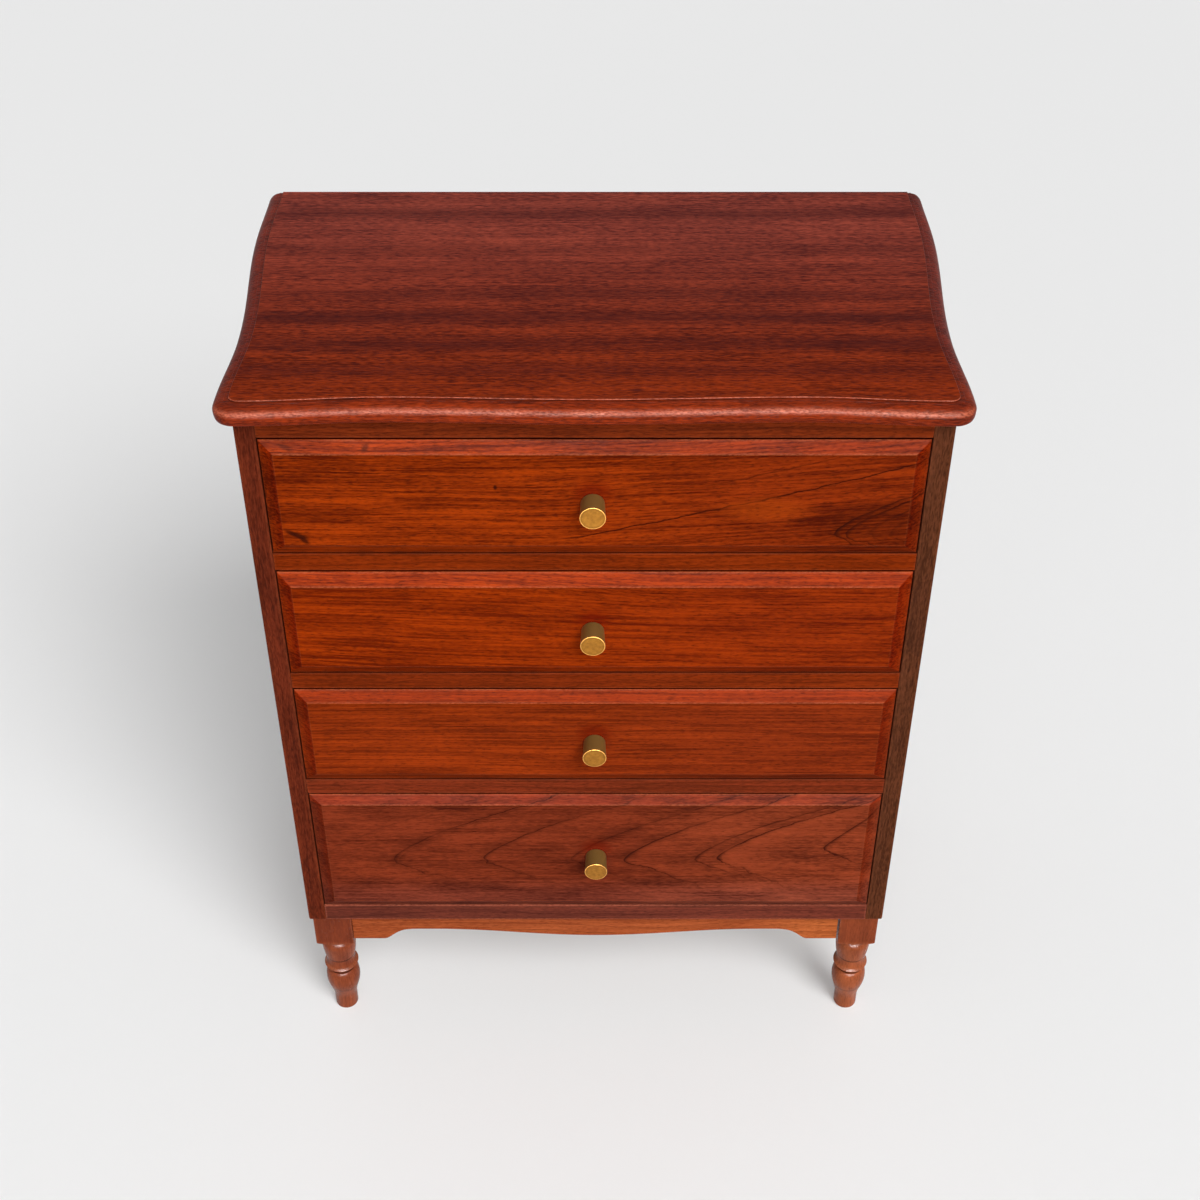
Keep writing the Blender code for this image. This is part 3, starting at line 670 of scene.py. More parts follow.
class Figure:
    """The pattern that growth lines make on a board. A plain board has none."""

    def draw(self, bench: Bench, grain: Grain) -> Socket | float:
        """Draws the figure on the board's coordinates as a darkness from 0 to 1."""
        return 0.0

    def course(self, bench: Bench, grain: Grain) -> Socket:
        """The coordinate across the fibres, which is straight unless the figure bends it."""
        return grain.across

    def lighten(self, bench: Bench, grain: Grain) -> Socket | None:
        """How much lighter the figure makes the wood, 0 to 1, or nothing."""
        return None

    def stray(self, bench: Bench, grain: Grain, slow: float, quick: float) -> Socket:
        """How far the lines stray, by the reach in metres of their long bends and of their short wobble."""
        return bench.group(EFFECTS.wander, Vector=grain.vector, Slow=slow, Quick=quick)[0]


@dataclass(frozen=True)
class RingFigure(Figure):
    """Growth rings about a pith line that runs along the board.

    A ring's count is the distance from the pith, sqrt(depth^2 + across^2), over the rings' pitch.
    """

    pith: tuple[float, float] = (0.5, -0.9)
    pitch: float = 0.011
    slow: float = 0.030
    quick: float = 0.003
    sharpness: float = 4.0

    def draw(self, bench: Bench, grain: Grain) -> Socket:
        """Draws the rings.

        Args:
            bench: The material's nodes.
            grain: The board's coordinates.

        Returns:
            The darkness, 0 to 1.
        """
        depth = bench.maths("SUBTRACT", grain.depth, self.pith[0])
        across = bench.maths("SUBTRACT", grain.across, self.pith[1])
        square = bench.maths("MULTIPLY_ADD", depth, depth, bench.maths("MULTIPLY", across, across))
        stray = self.stray(bench, grain, self.slow, self.quick)
        ring = bench.maths("DIVIDE", bench.maths("ADD", bench.maths("SQRT", square), stray), self.pitch)
        return bench.group(EFFECTS.rings, Ring=ring, Sharpness=self.sharpness)[0]


@dataclass(frozen=True)
class RibbonFigure(Figure):
    """Soft dark ribbons along the fibres of the top, each a place front to back with a strength."""

    bands: tuple[tuple[float, float], ...]
    half_width: float = 0.026
    slow: float = 0.010
    quick: float = 0.008
    reach: float = 0.30
    strong: Noise = Noise(2.2, 16.0, 2.0, span=(0.34, 0.56), onto=(0.62, 1.0))
    fine_lines: Noise = Noise(2.6, 150.0, 2.0, span=(0.50, 0.72), onto=(0.0, 0.35))

    def draw(self, bench: Bench, grain: Grain) -> Socket:
        """Draws a soft hump at each band, fading in and out along the fibres, and fine lines between them.

        Args:
            bench: The material's nodes.
            grain: The board's coordinates.

        Returns:
            The darkness, 0 to 1.
        """
        strayed = bench.maths("ADD", grain.depth, self.stray(bench, grain, self.slow, self.quick))
        place = bench.spread(strayed, -self.reach, self.reach)
        stops = line_stops(self.bands, self.reach, self.half_width, self.half_width)
        hump = bench.ramp(place, stops, smooth=True)
        ribbons = bench.maths("MULTIPLY", hump, self.strong.patches(bench, grain.vector))
        return bench.maths("MAXIMUM", ribbons, self.fine_lines.patches(bench, grain.vector))


@dataclass(frozen=True)
class Nest:
    """Pointed arches inside one another with their tips to the left, as a flat-sawn board shows.

    An arch with its tip at x0 is where along = x0 + arm * (sqrt(h^2 + point^2) - point) + bow * h^2, with h
    the height above the axis. The arm has another value below the axis, and the bow is only above it.
    """

    lines: tuple[tuple[float, float], ...]
    axis: float
    arm_above: float = 0.90
    arm_below: float = 2.40
    bow: float = 9.5
    point: float = 0.006
    fade: float = 0.060
    fade_start: float = 0.25
    lead: float = 0.0016
    trail: float = 0.0046
    shade_lead: float = 0.008
    shade_share: float = 0.25

    def draw(self, bench: Bench, grain: Grain, stray: Socket) -> tuple[Socket, Socket]:
        """Draws the arches' lines, each with a soft dark side towards its tip, which fade below the axis.

        Args:
            bench: The material's nodes.
            grain: The board's coordinates.
            stray: How far the lines stray.

        Returns:
            The lines' darkness, and where along the board the arch through a point has its tip.
        """
        height = bench.maths("ADD", bench.maths("SUBTRACT", grain.across, self.axis), stray)
        square = bench.maths("MULTIPLY", height, height)
        upper = bench.maths("GREATER_THAN", height, 0.0)
        arm = bench.spread(upper, 0.0, 1.0, self.arm_below, self.arm_above)
        root = bench.maths("SQRT", bench.maths("ADD", square, self.point**2))
        root = bench.maths("SUBTRACT", root, self.point)
        bowed = bench.maths("MULTIPLY", square, bench.maths("MULTIPLY", upper, self.bow))
        reach = bench.maths("MULTIPLY_ADD", arm, root, bowed)
        tip = bench.maths("ADD", bench.maths("SUBTRACT", grain.along, reach), stray)
        darkness: Socket | float = 0.0
        for place, strength in self.lines:
            line = bench.line(tip, place, self.lead, self.trail, strength)
            soft = bench.line(tip, place, self.shade_lead, 2 * self.trail, strength * self.shade_share)
            darkness = bench.maths("MAXIMUM", bench.maths("MAXIMUM", line, soft), darkness)
        kept = bench.spread(height, -self.fade, -self.fade * self.fade_start)
        return bench.maths("MULTIPLY", darkness, kept), tip


@dataclass(frozen=True)
class CathedralFigure(Figure):
    """Nests of pointed arches, with lighter wood just inside some of the first nest's arches."""

    nests: tuple[Nest, ...]
    glows: tuple[tuple[float, float], ...] = ()
    glow_lead: float = 0.004
    glow_trail: float = 0.085
    glow_fade: float = 0.060
    reach: float = 0.60
    slow: float = 0.012
    quick: float = 0.014
    strong: Noise = Noise(16.0, 26.0, 2.0, span=(0.36, 0.56), onto=(0.45, 1.0))

    def draw(self, bench: Bench, grain: Grain) -> Socket:
        """Draws the nests, stronger in some places than in others.

        Args:
            bench: The material's nodes.
            grain: The board's coordinates.

        Returns:
            The darkness, 0 to 1.
        """
        stray = self.stray(bench, grain, self.slow, self.quick)
        lines: Socket | float = 0.0
        for nest in self.nests:
            lines = bench.maths("MAXIMUM", nest.draw(bench, grain, stray)[0], lines)
        return bench.maths("MULTIPLY", lines, self.strong.patches(bench, grain.vector))

    def lighten(self, bench: Bench, grain: Grain) -> Socket | None:
        """Lightens the wood just inside some arches, less and less below their axis.

        Args:
            bench: The material's nodes.
            grain: The board's coordinates.

        Returns:
            How much lighter the wood is, 0 to 1, or nothing where no arch glows.
        """
        if not self.glows:
            return None
        nest = self.nests[0]
        tip = nest.draw(bench, grain, self.stray(bench, grain, self.slow, self.quick))[1]
        place = bench.spread(tip, -self.reach, self.reach)
        glow = bench.ramp(place, line_stops(self.glows, self.reach, self.glow_lead, self.glow_trail))
        kept = bench.spread(grain.across, nest.axis - self.glow_fade, nest.axis)
        return bench.maths("MULTIPLY", glow, kept)


@dataclass(frozen=True)
class Vein:
    """A thin dark line along the fibres: its level, start, stop, half width and strength."""

    level: float
    start: float
    stop: float
    half_width: float
    strength: float


@dataclass(frozen=True)
class VeinFigure(CathedralFigure):
    """A small nest of arches at one end, and veins along lines that fall a little and then climb.

    The lines' fall and climb is before * u + (after - before) * (sqrt(u^2 + soft^2) + u) / 2, where u is the
    distance past the turn, so its slope goes smoothly from the one to the other.
    """

    veins: tuple[Vein, ...] = ()
    before: float = -0.07
    after: float = 0.28
    turn: float = -0.05
    soft: float = 0.06
    follow: float = 0.25
    vein_slow: float = 0.012
    vein_quick: float = 0.007
    run_in: float = 0.05

    def course(self, bench: Bench, grain: Grain) -> Socket:
        """Takes a share of the fall and climb off the height, because the fibres lean less than the veins."""
        return bench.maths("MULTIPLY_ADD", self.lean(bench, grain), -self.follow, grain.across)

    def lean(self, bench: Bench, grain: Grain) -> Socket:
        """How far the veins have risen at each place along the board.

        Args:
            bench: The material's nodes.
            grain: The board's coordinates.

        Returns:
            The rise, in metres.
        """
        past = bench.maths("SUBTRACT", grain.along, self.turn)
        root = bench.maths("SQRT", bench.maths("MULTIPLY_ADD", past, past, self.soft**2))
        climb = bench.maths("MULTIPLY", bench.maths("ADD", root, past), (self.after - self.before) / 2)
        return bench.maths("MULTIPLY_ADD", past, self.before, climb)

    def draw(self, bench: Bench, grain: Grain) -> Socket:
        """Draws the arches and the veins.

        Args:
            bench: The material's nodes.
            grain: The board's coordinates.

        Returns:
            The darkness, 0 to 1.
        """
        darkness = super().draw(bench, grain)
        straight = bench.maths("SUBTRACT", grain.across, self.lean(bench, grain))
        level = bench.maths("ADD", straight, self.stray(bench, grain, self.vein_slow, self.vein_quick))
        for vein in self.veins:
            apart = bench.maths("ABSOLUTE", bench.maths("SUBTRACT", level, vein.level))
            line = bench.spread(apart, 0.0, vein.half_width, vein.strength, 0.0)
            start = bench.spread(grain.along, vein.start, vein.start + self.run_in)
            finish = bench.spread(grain.along, vein.stop - self.run_in, vein.stop, 1.0, 0.0)
            shown = bench.maths("MULTIPLY", line, bench.maths("MULTIPLY", start, finish))
            darkness = bench.maths("MAXIMUM", darkness, shown)
        return darkness


def line_stops(
    lines: Sequence[tuple[float, float]], reach: float, lead: float, trail: float
) -> list[tuple[float, float]]:
    """Ramp stops for a row of lines.

    Args:
        lines: Place and strength of each line, in order.
        reach: The ramp runs from minus this to plus this.
        lead: How far before its place a line starts.
        trail: How far past its place it has faded.

    Returns:
        Position and height of each stop.
    """
    stops = []
    for place, strength in lines:
        middle = (place + reach) / (2 * reach)
        stops.append((middle - lead / (2 * reach), 0.0))
        stops.append((middle, strength))
        stops.append((middle + trail / (2 * reach), 0.0))
    return stops


@dataclass(frozen=True)
class Mark:
    """A small mark in the wood, such as a pin knot: its place, half sizes, strength, slant and colour."""

    place: Point
    size: Point
    strength: float
    slant: float = 0.0
    tint: Colour | None = None
    core: float = 0.6

    def draw(self, bench: Bench, vector: Socket) -> Socket:
        """Draws the mark as a darkness that falls off from its middle.

        Args:
            bench: The material's nodes.
            vector: Object coordinates.

        Returns:
            The darkness.
        """
        slant = (0.0, -math.radians(self.slant), 0.0)
        inputs = {"Vector": vector, "Location": self.place, "Rotation": slant, "Scale": self.size}
        local = bench.add("Mapping", inputs, vector_type="TEXTURE").outputs[0]
        ball = bench.add("TexGradient", {"Vector": local}, gradient_type="SPHERICAL").outputs[1]
        return bench.maths("MULTIPLY", bench.spread(ball, 0.0, self.core), self.strength)


@dataclass(frozen=True)
class Drift:
    """A slow change of tone across a board: none at one place on an axis, all of the tint from another on."""

    tint: Point
    axis: Axis
    start: float
    stop: float

    def lay(self, bench: Bench, place: Socket, colour: Socket) -> Socket:
        """Lays the change over a colour.

        Args:
            bench: The material's nodes.
            place: Object coordinates.
            colour: The colour so far.

        Returns:
            The changed colour.
        """
        where = bench.add("SeparateXYZ", {0: place}).outputs[self.axis.value]
        ends = {"Value": where, "From Min": self.start, "From Max": self.stop}
        share = bench.add("MapRange", ends, interpolation_type="SMOOTHSTEP").outputs[0]
        return bench.mix(share, colour, (*self.tint, 1.0), "MULTIPLY")


@dataclass(frozen=True)
class Timber:
    """A wood finish: two fibre tones, a darker figure, pores, rubbed arrises, painted light and shade,
    varnish.
    """

    name: str
    deep: Colour
    pale: Colour
    vein: Colour
    run: Run = Run.X
    figure: Figure = RingFigure()
    figure_depth: float = 0.45
    broad: float = 1.0
    mottle: float = 0.9
    streak: float = 1.5
    fleck: float = 1.5
    pore_depth: float = 0.45
    wander: float = 0.012
    wander_to_wobble: float = 12.0
    # The lighter tone of rubbed arrises, which also paints highlights, and how much of it is laid on.
    worn: Colour = shade(196, 104, 62)
    wear: float = 0.12
    glossy: float = 0.30
    dull: float = 0.46
    specular: float = 0.0055
    end_grain: float = 0.0
    relief: float = 0.00025
    relief_strength: float = 0.6
    pore_relief: float = -0.6
    turned: bool = False
    tool_pitch: float = 0.0011
    marks: tuple[Mark, ...] = ()
    drifts: tuple[Drift, ...] = ()

    def material(self) -> bpy.types.Material:
        """Builds the finish.

        Returns:
            A material whose colour, roughness and relief come from its nodes.
        """
        material, bench, shader = start_material(self.name)
        place = bench.add("TexCoord").outputs["Object"]
        vector = bench.add("Mapping", {"Vector": place, "Rotation": self.run.turn}).outputs[0]
        parts = bench.add("SeparateXYZ", {0: vector}).outputs
        grain = Grain(vector, parts[0], parts[1], parts[2])
        wander = self.figure.stray(bench, grain, self.wander, self.wander / self.wander_to_wobble)
        depth = bench.maths("ADD", parts[1], wander)
        course = bench.maths("ADD", self.figure.course(bench, grain), wander)
        followed = bench.add("CombineXYZ", {0: parts[0], 1: depth, 2: course}).outputs[0]
        weights = {"Broad": self.broad, "Mottle": self.mottle, "Streak": self.streak, "Fleck": self.fleck}
        fibre = bench.group(EFFECTS.fibre, Vector=followed, **weights)
        colour = bench.mix(fibre["Tone"], self.deep, self.pale)
        glow = self.figure.lighten(bench, grain)
        if glow is not None:
            colour = bench.mix(glow, colour, self.pale)
        for drift in self.drifts:
            colour = drift.lay(bench, place, colour)
        darkness = self.figure.draw(bench, grain)
        colour = bench.mix(bench.maths("MULTIPLY", darkness, self.figure_depth), colour, self.vein)
        for mark in self.marks:
            colour = bench.mix(mark.draw(bench, place), colour, mark.tint or self.vein)
        pore = bench.maths("MULTIPLY", fibre["Pore"], self.pore_depth)
        colour = bench.mix(pore, colour, self.vein)
        if self.end_grain:
            share = bench.maths("MULTIPLY", bench.trait("end_grain"), self.end_grain)
            colour = bench.mix(share, colour, END_GRAIN_TINT, "MULTIPLY")
        rubbed_and_sheen = bench.group(EFFECTS.wear, Vector=vector, Edge=bench.trait("wear"))[0]
        # Rubbed arrises take the lighter tone, and so do the painted highlights.
        colour = bench.mix(bench.maths("MULTIPLY", rubbed_and_sheen, self.wear), colour, self.worn)
        # Painted shade: gaps, grooves, recesses and undersides are darkened.
        colour = bench.mix(bench.trait("painted_shade"), colour, PAINTED_SHADE_TONE)
        polish = bench.group(EFFECTS.polish, Vector=vector)[0]
        height = bench.maths("MULTIPLY_ADD", fibre["Pore"], self.pore_relief, fibre["Fleck"])
        if self.turned:
            tool = bench.group(EFFECTS.turning, Distance=bench.trait("lathe"), Pitch=self.tool_pitch)[0]
            height = bench.maths("ADD", height, tool)
        relief = {"Height": height, "Strength": self.relief_strength, "Distance": self.relief}
        finish = {
            "Base Color": colour,
            "Roughness": bench.spread(polish, 0.0, 1.0, self.glossy, self.dull),
            "Normal": bench.add("Bump", relief).outputs[0],
            "Specular IOR Level": self.specular,
        }
        bench.feed(shader, finish)
        return material


@dataclass(frozen=True)
class Metal:
    """A turned metal finish: bright face, worn rim with a painted highlight, dull behind, tool lines,
    tarnish.
    """

    name: str
    bright: Colour
    tarnished: Colour
    dull: Colour
    rim: Colour
    bare: float = 0.45
    glossy: float = 0.26
    rough: float = 0.40
    pitch: float = 0.0007
    ring_start: float = 0.0017
    ring_end: float = 0.0034
    ring_depth: float = 0.8
    rim_rough: float = 0.24
    rim_shine: float = 0.15
    face_from: float = -0.0016
    face_full: float = -0.0002
    shadow: tuple[float, float, float] = (0.30, 0.62, 0.35)
    spots: Noise = Noise(240.0, 240.0, 2.0, span=(0.35, 0.85))
    relief: float = 0.0001
    relief_strength: float = 0.35

    def material(self) -> bpy.types.Material:
        """Builds the finish.

        Returns:
            A metallic material whose colour, roughness and relief come from its nodes.
        """
        material, bench, shader = start_material(self.name)
        place = bench.add("TexCoord").outputs["Object"]
        distance = bench.trait("lathe")
        tool = bench.group(EFFECTS.turning, Distance=distance, Pitch=self.pitch)[0]
        polish = bench.group(EFFECTS.polish, Vector=place)[0]
        face = bench.mix(self.spots.patches(bench, place), self.bright, self.tarnished)
        front = bench.spread(distance, self.face_from, self.face_full)
        colour = bench.mix(front, self.dull, face)
        low, high, depth = self.shadow
        colour = bench.mix(bench.spread(tool, low, high, depth, 0.0), colour, self.tarnished)
        past_rim = bench.spread(distance, self.ring_start, self.ring_end, self.ring_depth, 0.0)
        inside = bench.maths("MULTIPLY", past_rim, bench.maths("GREATER_THAN", distance, self.ring_start))
        colour = bench.mix(inside, colour, self.tarnished)
        # The rim is paler: rubbed brass, with a painted highlight all round.
        edge = bench.trait("wear")
        rubbed_and_sheen = bench.group(EFFECTS.wear, Vector=place, Edge=edge)[0]
        shine = bench.maths("MULTIPLY", edge, self.rim_shine)
        colour = bench.mix(bench.maths("MULTIPLY_ADD", rubbed_and_sheen, self.rim_shine, shine), colour, self.rim)
        relief = {"Height": tool, "Strength": self.relief_strength, "Distance": self.relief}
        face_rough = bench.spread(polish, 0.0, 1.0, self.glossy, self.rough)
        finish = {
            "Base Color": colour,
            "Roughness": bench.maths("MULTIPLY_ADD", edge, self.rim_rough, face_rough),
            "Normal": bench.add("Bump", relief).outputs[0],
            "Metallic": bench.spread(front, 0.0, 1.0, self.bare, 1.0),
        }
        bench.feed(shader, finish)
        return material


@dataclass
class TopSlab:
    """The top, with a quirk and thumb moulding run round its serpentine front and sides."""

    front_centre: float = 0.0295
    front_hollow: float = 0.0250
    front_corner: float = 0.0325
    hollow_from_side: float = 0.160
    side_corner: float = 0.0150
    side_waist: float = 0.0080
    side_swell: float = 0.0206
    side_back: float = 0.0186
    waist_from_front: float = 0.115
    swell_from_back: float = 0.095
    corner_radius: float = 0.0228
    inner_radius: float = 0.0105
    back_radius: float = 0.013
    quirk: float = 0.0015
    fillet: float = 0.0046
    # Painted shade in the fillet; a painted highlight along the thumb and on the brow's arris, full along the
    # front and faint on the sides.
    fillet_shade: float = 0.45
    thumb_sheen: float = 1.0
    sheen_angle: float = 0.47
    sheen_spread: float = 0.31
    side_sheen: float = 0.15
    nick: float = 0.0006
    thumb_width: float = 0.0122
    thumb_drop: float = 0.0095
    undercut: float = 0.002
    arris: float = 0.0006
    hold: float = 0.0030
    plain_back: float = 0.04
    steps: int = 48
    arc_points: int = 13

    def half_rings(self, inset: Array) -> tuple[Array, Array]:
        """The right half of each ring, from the front's middle to the back's middle.

        The overhang beyond the case, less the inset, eases from one chosen place to the next along the front
        and the side. The front corner is a quarter circle whose radius shrinks with the inset to a least one.
        Behind the side's end x is the lesser of the back corner's quarter circle and the side's end less the
        inset, so the moulding runs out at the back.

        Args:
            inset: How far in each ring lies, one to a row.

        Returns:
            The rings' x and y, and how much each point faces the front.
        """
        case_low, case_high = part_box("right_side")
        half, front = case_high.x, case_low.y
        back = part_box("top_slab")[1].y
        radius = np.maximum(self.corner_radius - inset, self.inner_radius)
        corner_x = half + self.side_corner - inset - radius
        corner_y = front - self.front_corner + inset + radius
        hollow_x = half - self.hollow_from_side
        waist_y = front + self.waist_from_front
        swell_y = back - self.swell_from_back
        end_y = back - self.back_radius
        share = np.linspace(0.0, 1.0, self.steps, endpoint=False)
        turn = share * np.pi / 2

        def join(x: Array, y: Array) -> Array:
            """Points of every ring from their two coordinates."""
            return table(x, y, inset)[..., :2]

        def front_run(x0: Array | float, first: float, x1: Array | float, second: float) -> Array:
            """Part of the front."""
            return join(x0 + (x1 - x0) * share, front - eased(first, second, share) + inset)

        def side_run(y0: Array | float, first: float, y1: float, second: float, stop: float = 1.0) -> Array:
            """Part of the side."""
            part = share * stop
            return join(half + eased(first, second, part) - inset, y0 + (y1 - y0) * part)

        shown = (end_y - swell_y) / self.swell_from_back
        back_x = half + float(eased(self.side_swell, self.side_back, np.array(shown)))
        round_x = np.minimum(back_x - self.back_radius * (1 - np.cos(turn)), back_x - inset)
        straight_x = np.minimum((back_x - self.back_radius) * (1 - share), back_x - inset)
        plain_y = back - self.plain_back * inset
        runs = (
            front_run(0.0, self.front_centre, hollow_x, self.front_hollow),
            front_run(hollow_x, self.front_hollow, corner_x, self.front_corner),
            join(corner_x + radius * np.sin(turn), corner_y - radius * np.cos(turn)),
            side_run(corner_y, self.side_corner, waist_y, self.side_waist),
            side_run(waist_y, self.side_waist, swell_y, self.side_swell),
            side_run(swell_y, self.side_swell, back, self.side_back, shown),
            join(round_x, end_y + (plain_y - end_y) * np.sin(turn)),
            join(straight_x, plain_y),
            join(np.zeros(1), plain_y),
        )
        rings = np.concatenate(runs, axis=1)
        facing = np.concatenate((np.ones_like(share), np.ones_like(share), np.cos(turn)))
        return rings, np.pad(facing, (0, rings.shape[1] - len(facing)))

    def section(self) -> Array:
        """The moulded edge, underside up: rows of inset, height, arris wear, painted shade and painted sheen.

        The underside and the thumb are quarter ellipses that meet at the widest point. A small nick, a flat
        fillet and its upright face follow, and a small quarter round leads on to the top. The painted sheen,
        a highlight painted along the thumb, is a bell curve over the thumb's angle; painted shade lies in the
        fillet.

        Returns:
            The section's rows.
        """
        low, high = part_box("top_slab")
        top = high.z - low.z
        ledge = top - self.quirk
        widest = ledge - self.nick - self.thumb_drop
        step = self.thumb_width + self.fillet
        turn = np.linspace(0.0, np.pi / 2, self.arc_points)
        small = np.linspace(0.0, np.pi / 2, ARC_STEPS + 1)
        # A highlight painted along the thumb, strongest at the angle that faces the light.
        painted_sheen = np.exp(-(((turn - self.sheen_angle) / self.sheen_spread) ** 2))
        under = table(self.undercut * (1 - np.sin(turn)), widest * (1 - np.cos(turn)), 0.0, 0.0, 0.0)
        outward, upward = self.thumb_width * (1 - np.cos(turn)), self.thumb_drop * np.sin(turn)
        thumb = table(outward, widest + upward, 0.0, 0.0, painted_sheen)
        inward, short = self.arris * (1 - np.cos(small)), self.arris * (1 - np.sin(small))
        # The brow's arris is rubbed and carries the painted highlight of the step line.
        brow = table(step + inward, top - short, 1.0, 0.0, 0.0)
        below = ((self.undercut + self.hold, 0.0, 0.0, 0.0, 0.0),)
        # Painted shade in the nick and the fillet.
        quirk = (
            (self.thumb_width, ledge - self.nick / 2, 0.0, self.fillet_shade, 0.0),
            (self.thumb_width + self.nick / 2, ledge, 0.0, 0.0, 0.0),
            (step - self.nick, ledge, 0.0, self.fillet_shade / 2, 0.0),
            (step, ledge, 0.0, self.fillet_shade, 0.0),
            (step, top - self.arris - self.nick / 2, 0.0, self.fillet_shade, 0.0),
        )
        above = ((step + self.arris + self.hold, top, 0.0, 0.0, 0.0),)
        return np.concatenate((below, under, thumb[1:], quirk, brow, above))

    def build(self, material: bpy.types.Material, moulding: bpy.types.Material) -> None:
        """Carries the section round the outline, with more painted highlight where it faces the front.

        Args:
            material: The finish of the flat top.
            moulding: The finish of the moulded edge.
        """
        inset, height, arris, painted_shade, painted_sheen = self.section().T[..., None]
        points, facing = self.half_rings(inset)
        right = table(points[..., 0], points[..., 1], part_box("top_slab")[0].z + height)
        left = right[:, -2:0:-1] * (-1.0, 1.0, 1.0)
        rings = np.concatenate((right, left), axis=1)
        rows, columns = rings.shape[:2]
        facing = np.concatenate((facing, facing[-2:0:-1]))
        # The brow's painted highlight and the thumb's painted sheen are full where the edge faces the front
        # and fade on the sides.
        wear = arris * (self.side_sheen + (1.0 - self.side_sheen) * facing) + self.thumb_sheen * painted_sheen * facing
        loft = Loft(rings, {"wear": wear, "painted_shade": np.broadcast_to(painted_shade, (rows, columns))})
        piece = add_piece("moulded_top", loft, material, CARCASS, ("top_slab",))
        piece.data.materials.append(moulding)
        edge, flat = np.ones((rows - 2) * columns), np.zeros(columns)
        finish = np.concatenate((edge, flat, np.ones(columns), flat))
        piece.data.polygons.foreach_set("material_index", finish.astype(np.int32))


@dataclass
class SidePanels:
    """The two side panels, rebated for the back panel, with eased arrises and a chamfered foot."""

    seat_gap: float = 0.0003
    arris: float = 0.0009
    hold: float = 0.0025
    foot_round: float = 0.0040
    joint_shade: float = 0.45

    def build(self, finishes: dict[str, bpy.types.Material]) -> None:
        """Carries each panel's plan up from its foot.

        Args:
            finishes: The finish of each side, by its node's name.
        """
        panel_low, panel_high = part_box("back_panel")
        for name, sign in (("left_side", -1), ("right_side", 1)):
            low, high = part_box(name)
            inner, outer = (low.x, high.x) if sign > 0 else (high.x, low.x)
            lap = sign * (panel_high.x + self.seat_gap)
            rebate = panel_low.y - self.seat_gap
            plan = [(inner, low.y), (outer, low.y), (outer, high.y), (lap, high.y)]
            plan += [(lap, rebate), (inner, rebate)]
            outline = rounded_outline(plan[::sign], self.arris, self.hold)
            foot = self.arris + (self.foot_round - self.arris) * np.abs(outline.normals[:, 0])
            first, last = Arris(foot, self.hold), Arris(self.arris, self.hold)
            board = prism(outline, Run.Z, low.z, high.z, first, last)
            inside = rise(np.abs(board.rings[..., 0]), abs(inner) + self.arris, abs(inner) + self.arris / 2)
            behind = rise(board.rings[..., 1], low.y + self.arris / 2, low.y + self.arris)
            # Painted shade on the inner face just behind the front arris, in the drawer openings.
            board.traits["painted_shade"] = self.joint_shade * inside * behind
            add_piece(f"{name}_panel", board, finishes[name], CARCASS, (name,))


@dataclass
class CrossRails:
    """The rails that show between the drawers, with eased arrises."""

    arris: float = 0.0008
    hold: float = 0.0022
    shoulder_gap: float = 0.0003
    joint_shade: float = 0.85
    upper_shade: float = 0.6

    def build(self, finishes: dict[str, bpy.types.Material]) -> None:
        """Carries each rail's rectangle from one side panel to the other.

        Args:
            finishes: The finish of each rail, by its node's name.
        """
        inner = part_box("right_side")[0].x - self.shoulder_gap
        for name, material in finishes.items():
            low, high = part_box(name)
            section = rectangle(low.y, low.z, high.y, high.z)
            outline = rounded_outline(section, self.arris, self.hold)
            ends = Arris(self.arris / 2, self.hold)
            board = prism(outline, Run.X, -inner, inner, ends, ends)
            # Painted shade behind the front arris, and on the top arris of the rails under the drawers, in
            # the gap below each drawer.
            behind = rise(board.rings[..., 1], low.y + self.arris, low.y + 2 * self.arris)
            upper = rise(board.rings[..., 2], high.z - self.arris, high.z) * name.startswith("drawer_rail")
            board.traits["painted_shade"] = np.maximum(self.joint_shade * behind, self.upper_shade * upper)
            add_piece(f"{name}_board", board, material, CARCASS, (name,))


@dataclass
class Apron:
    """The shaped board between the front legs: flat ends, a leaning ogee and a long shallow bow."""

    drop_ends: float = 0.0544
    drop_arch: float = 0.0350
    drop_centre: float = 0.0478
    end_flat: float = 0.041
    ogee_length: float = 0.067
    ogee_lean: int = 3
    arris: float = 0.0010
    hold: float = 0.0025
    right_gap: float = 0.0018
    stations: int = 260

    def drop(self, from_end: Array, half: float) -> Array:
        """Height of the board: the flat end, then a half cosine of 1 - (rest)^lean, then one to the centre.

        Args:
            from_end: Distances in from the board's ends.
            half: Half the board's length.

        Returns:
            The height at each distance.
        """
        bow = self.end_flat + self.ogee_length
        rest = np.clip((bow - from_end) / self.ogee_length, 0.0, 1.0)
        ogee = eased(self.drop_ends, self.drop_arch, 1.0 - rest**self.ogee_lean)
        share = np.clip((from_end - bow) / (half - bow), 0.0, 1.0)
        return np.where(from_end < bow, ogee, eased(self.drop_arch, self.drop_centre, share))

    def build(self, material: bpy.types.Material) -> None:
        """Carries a rounded rectangle along the board while its lower edge follows the shaped line.

        Args:
            material: The apron's finish.
        """
        low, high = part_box("apron")
        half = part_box("front_right_leg")[0].x - SidePanels.seat_gap
        floor = high.z - self.drop_ends
        outline = rounded_outline(rectangle(low.y, floor, high.y, high.z), self.arris, self.hold)
        x = np.linspace(-half, half - self.right_gap, self.stations)
        lift = self.drop_ends - self.drop(half - np.abs(x), half)
        lower = (outline.points[:, 1] < (floor + high.z) / 2).astype(float)
        level = outline.points[:, 1] + lift[:, None] * lower
        rings = table(x[:, None], outline.points[:, 0], level)
        loft = Loft(rings, {"wear": np.broadcast_to(outline.wear, level.shape)})
        add_piece("shaped_apron", loft, material, CARCASS, ("apron",))


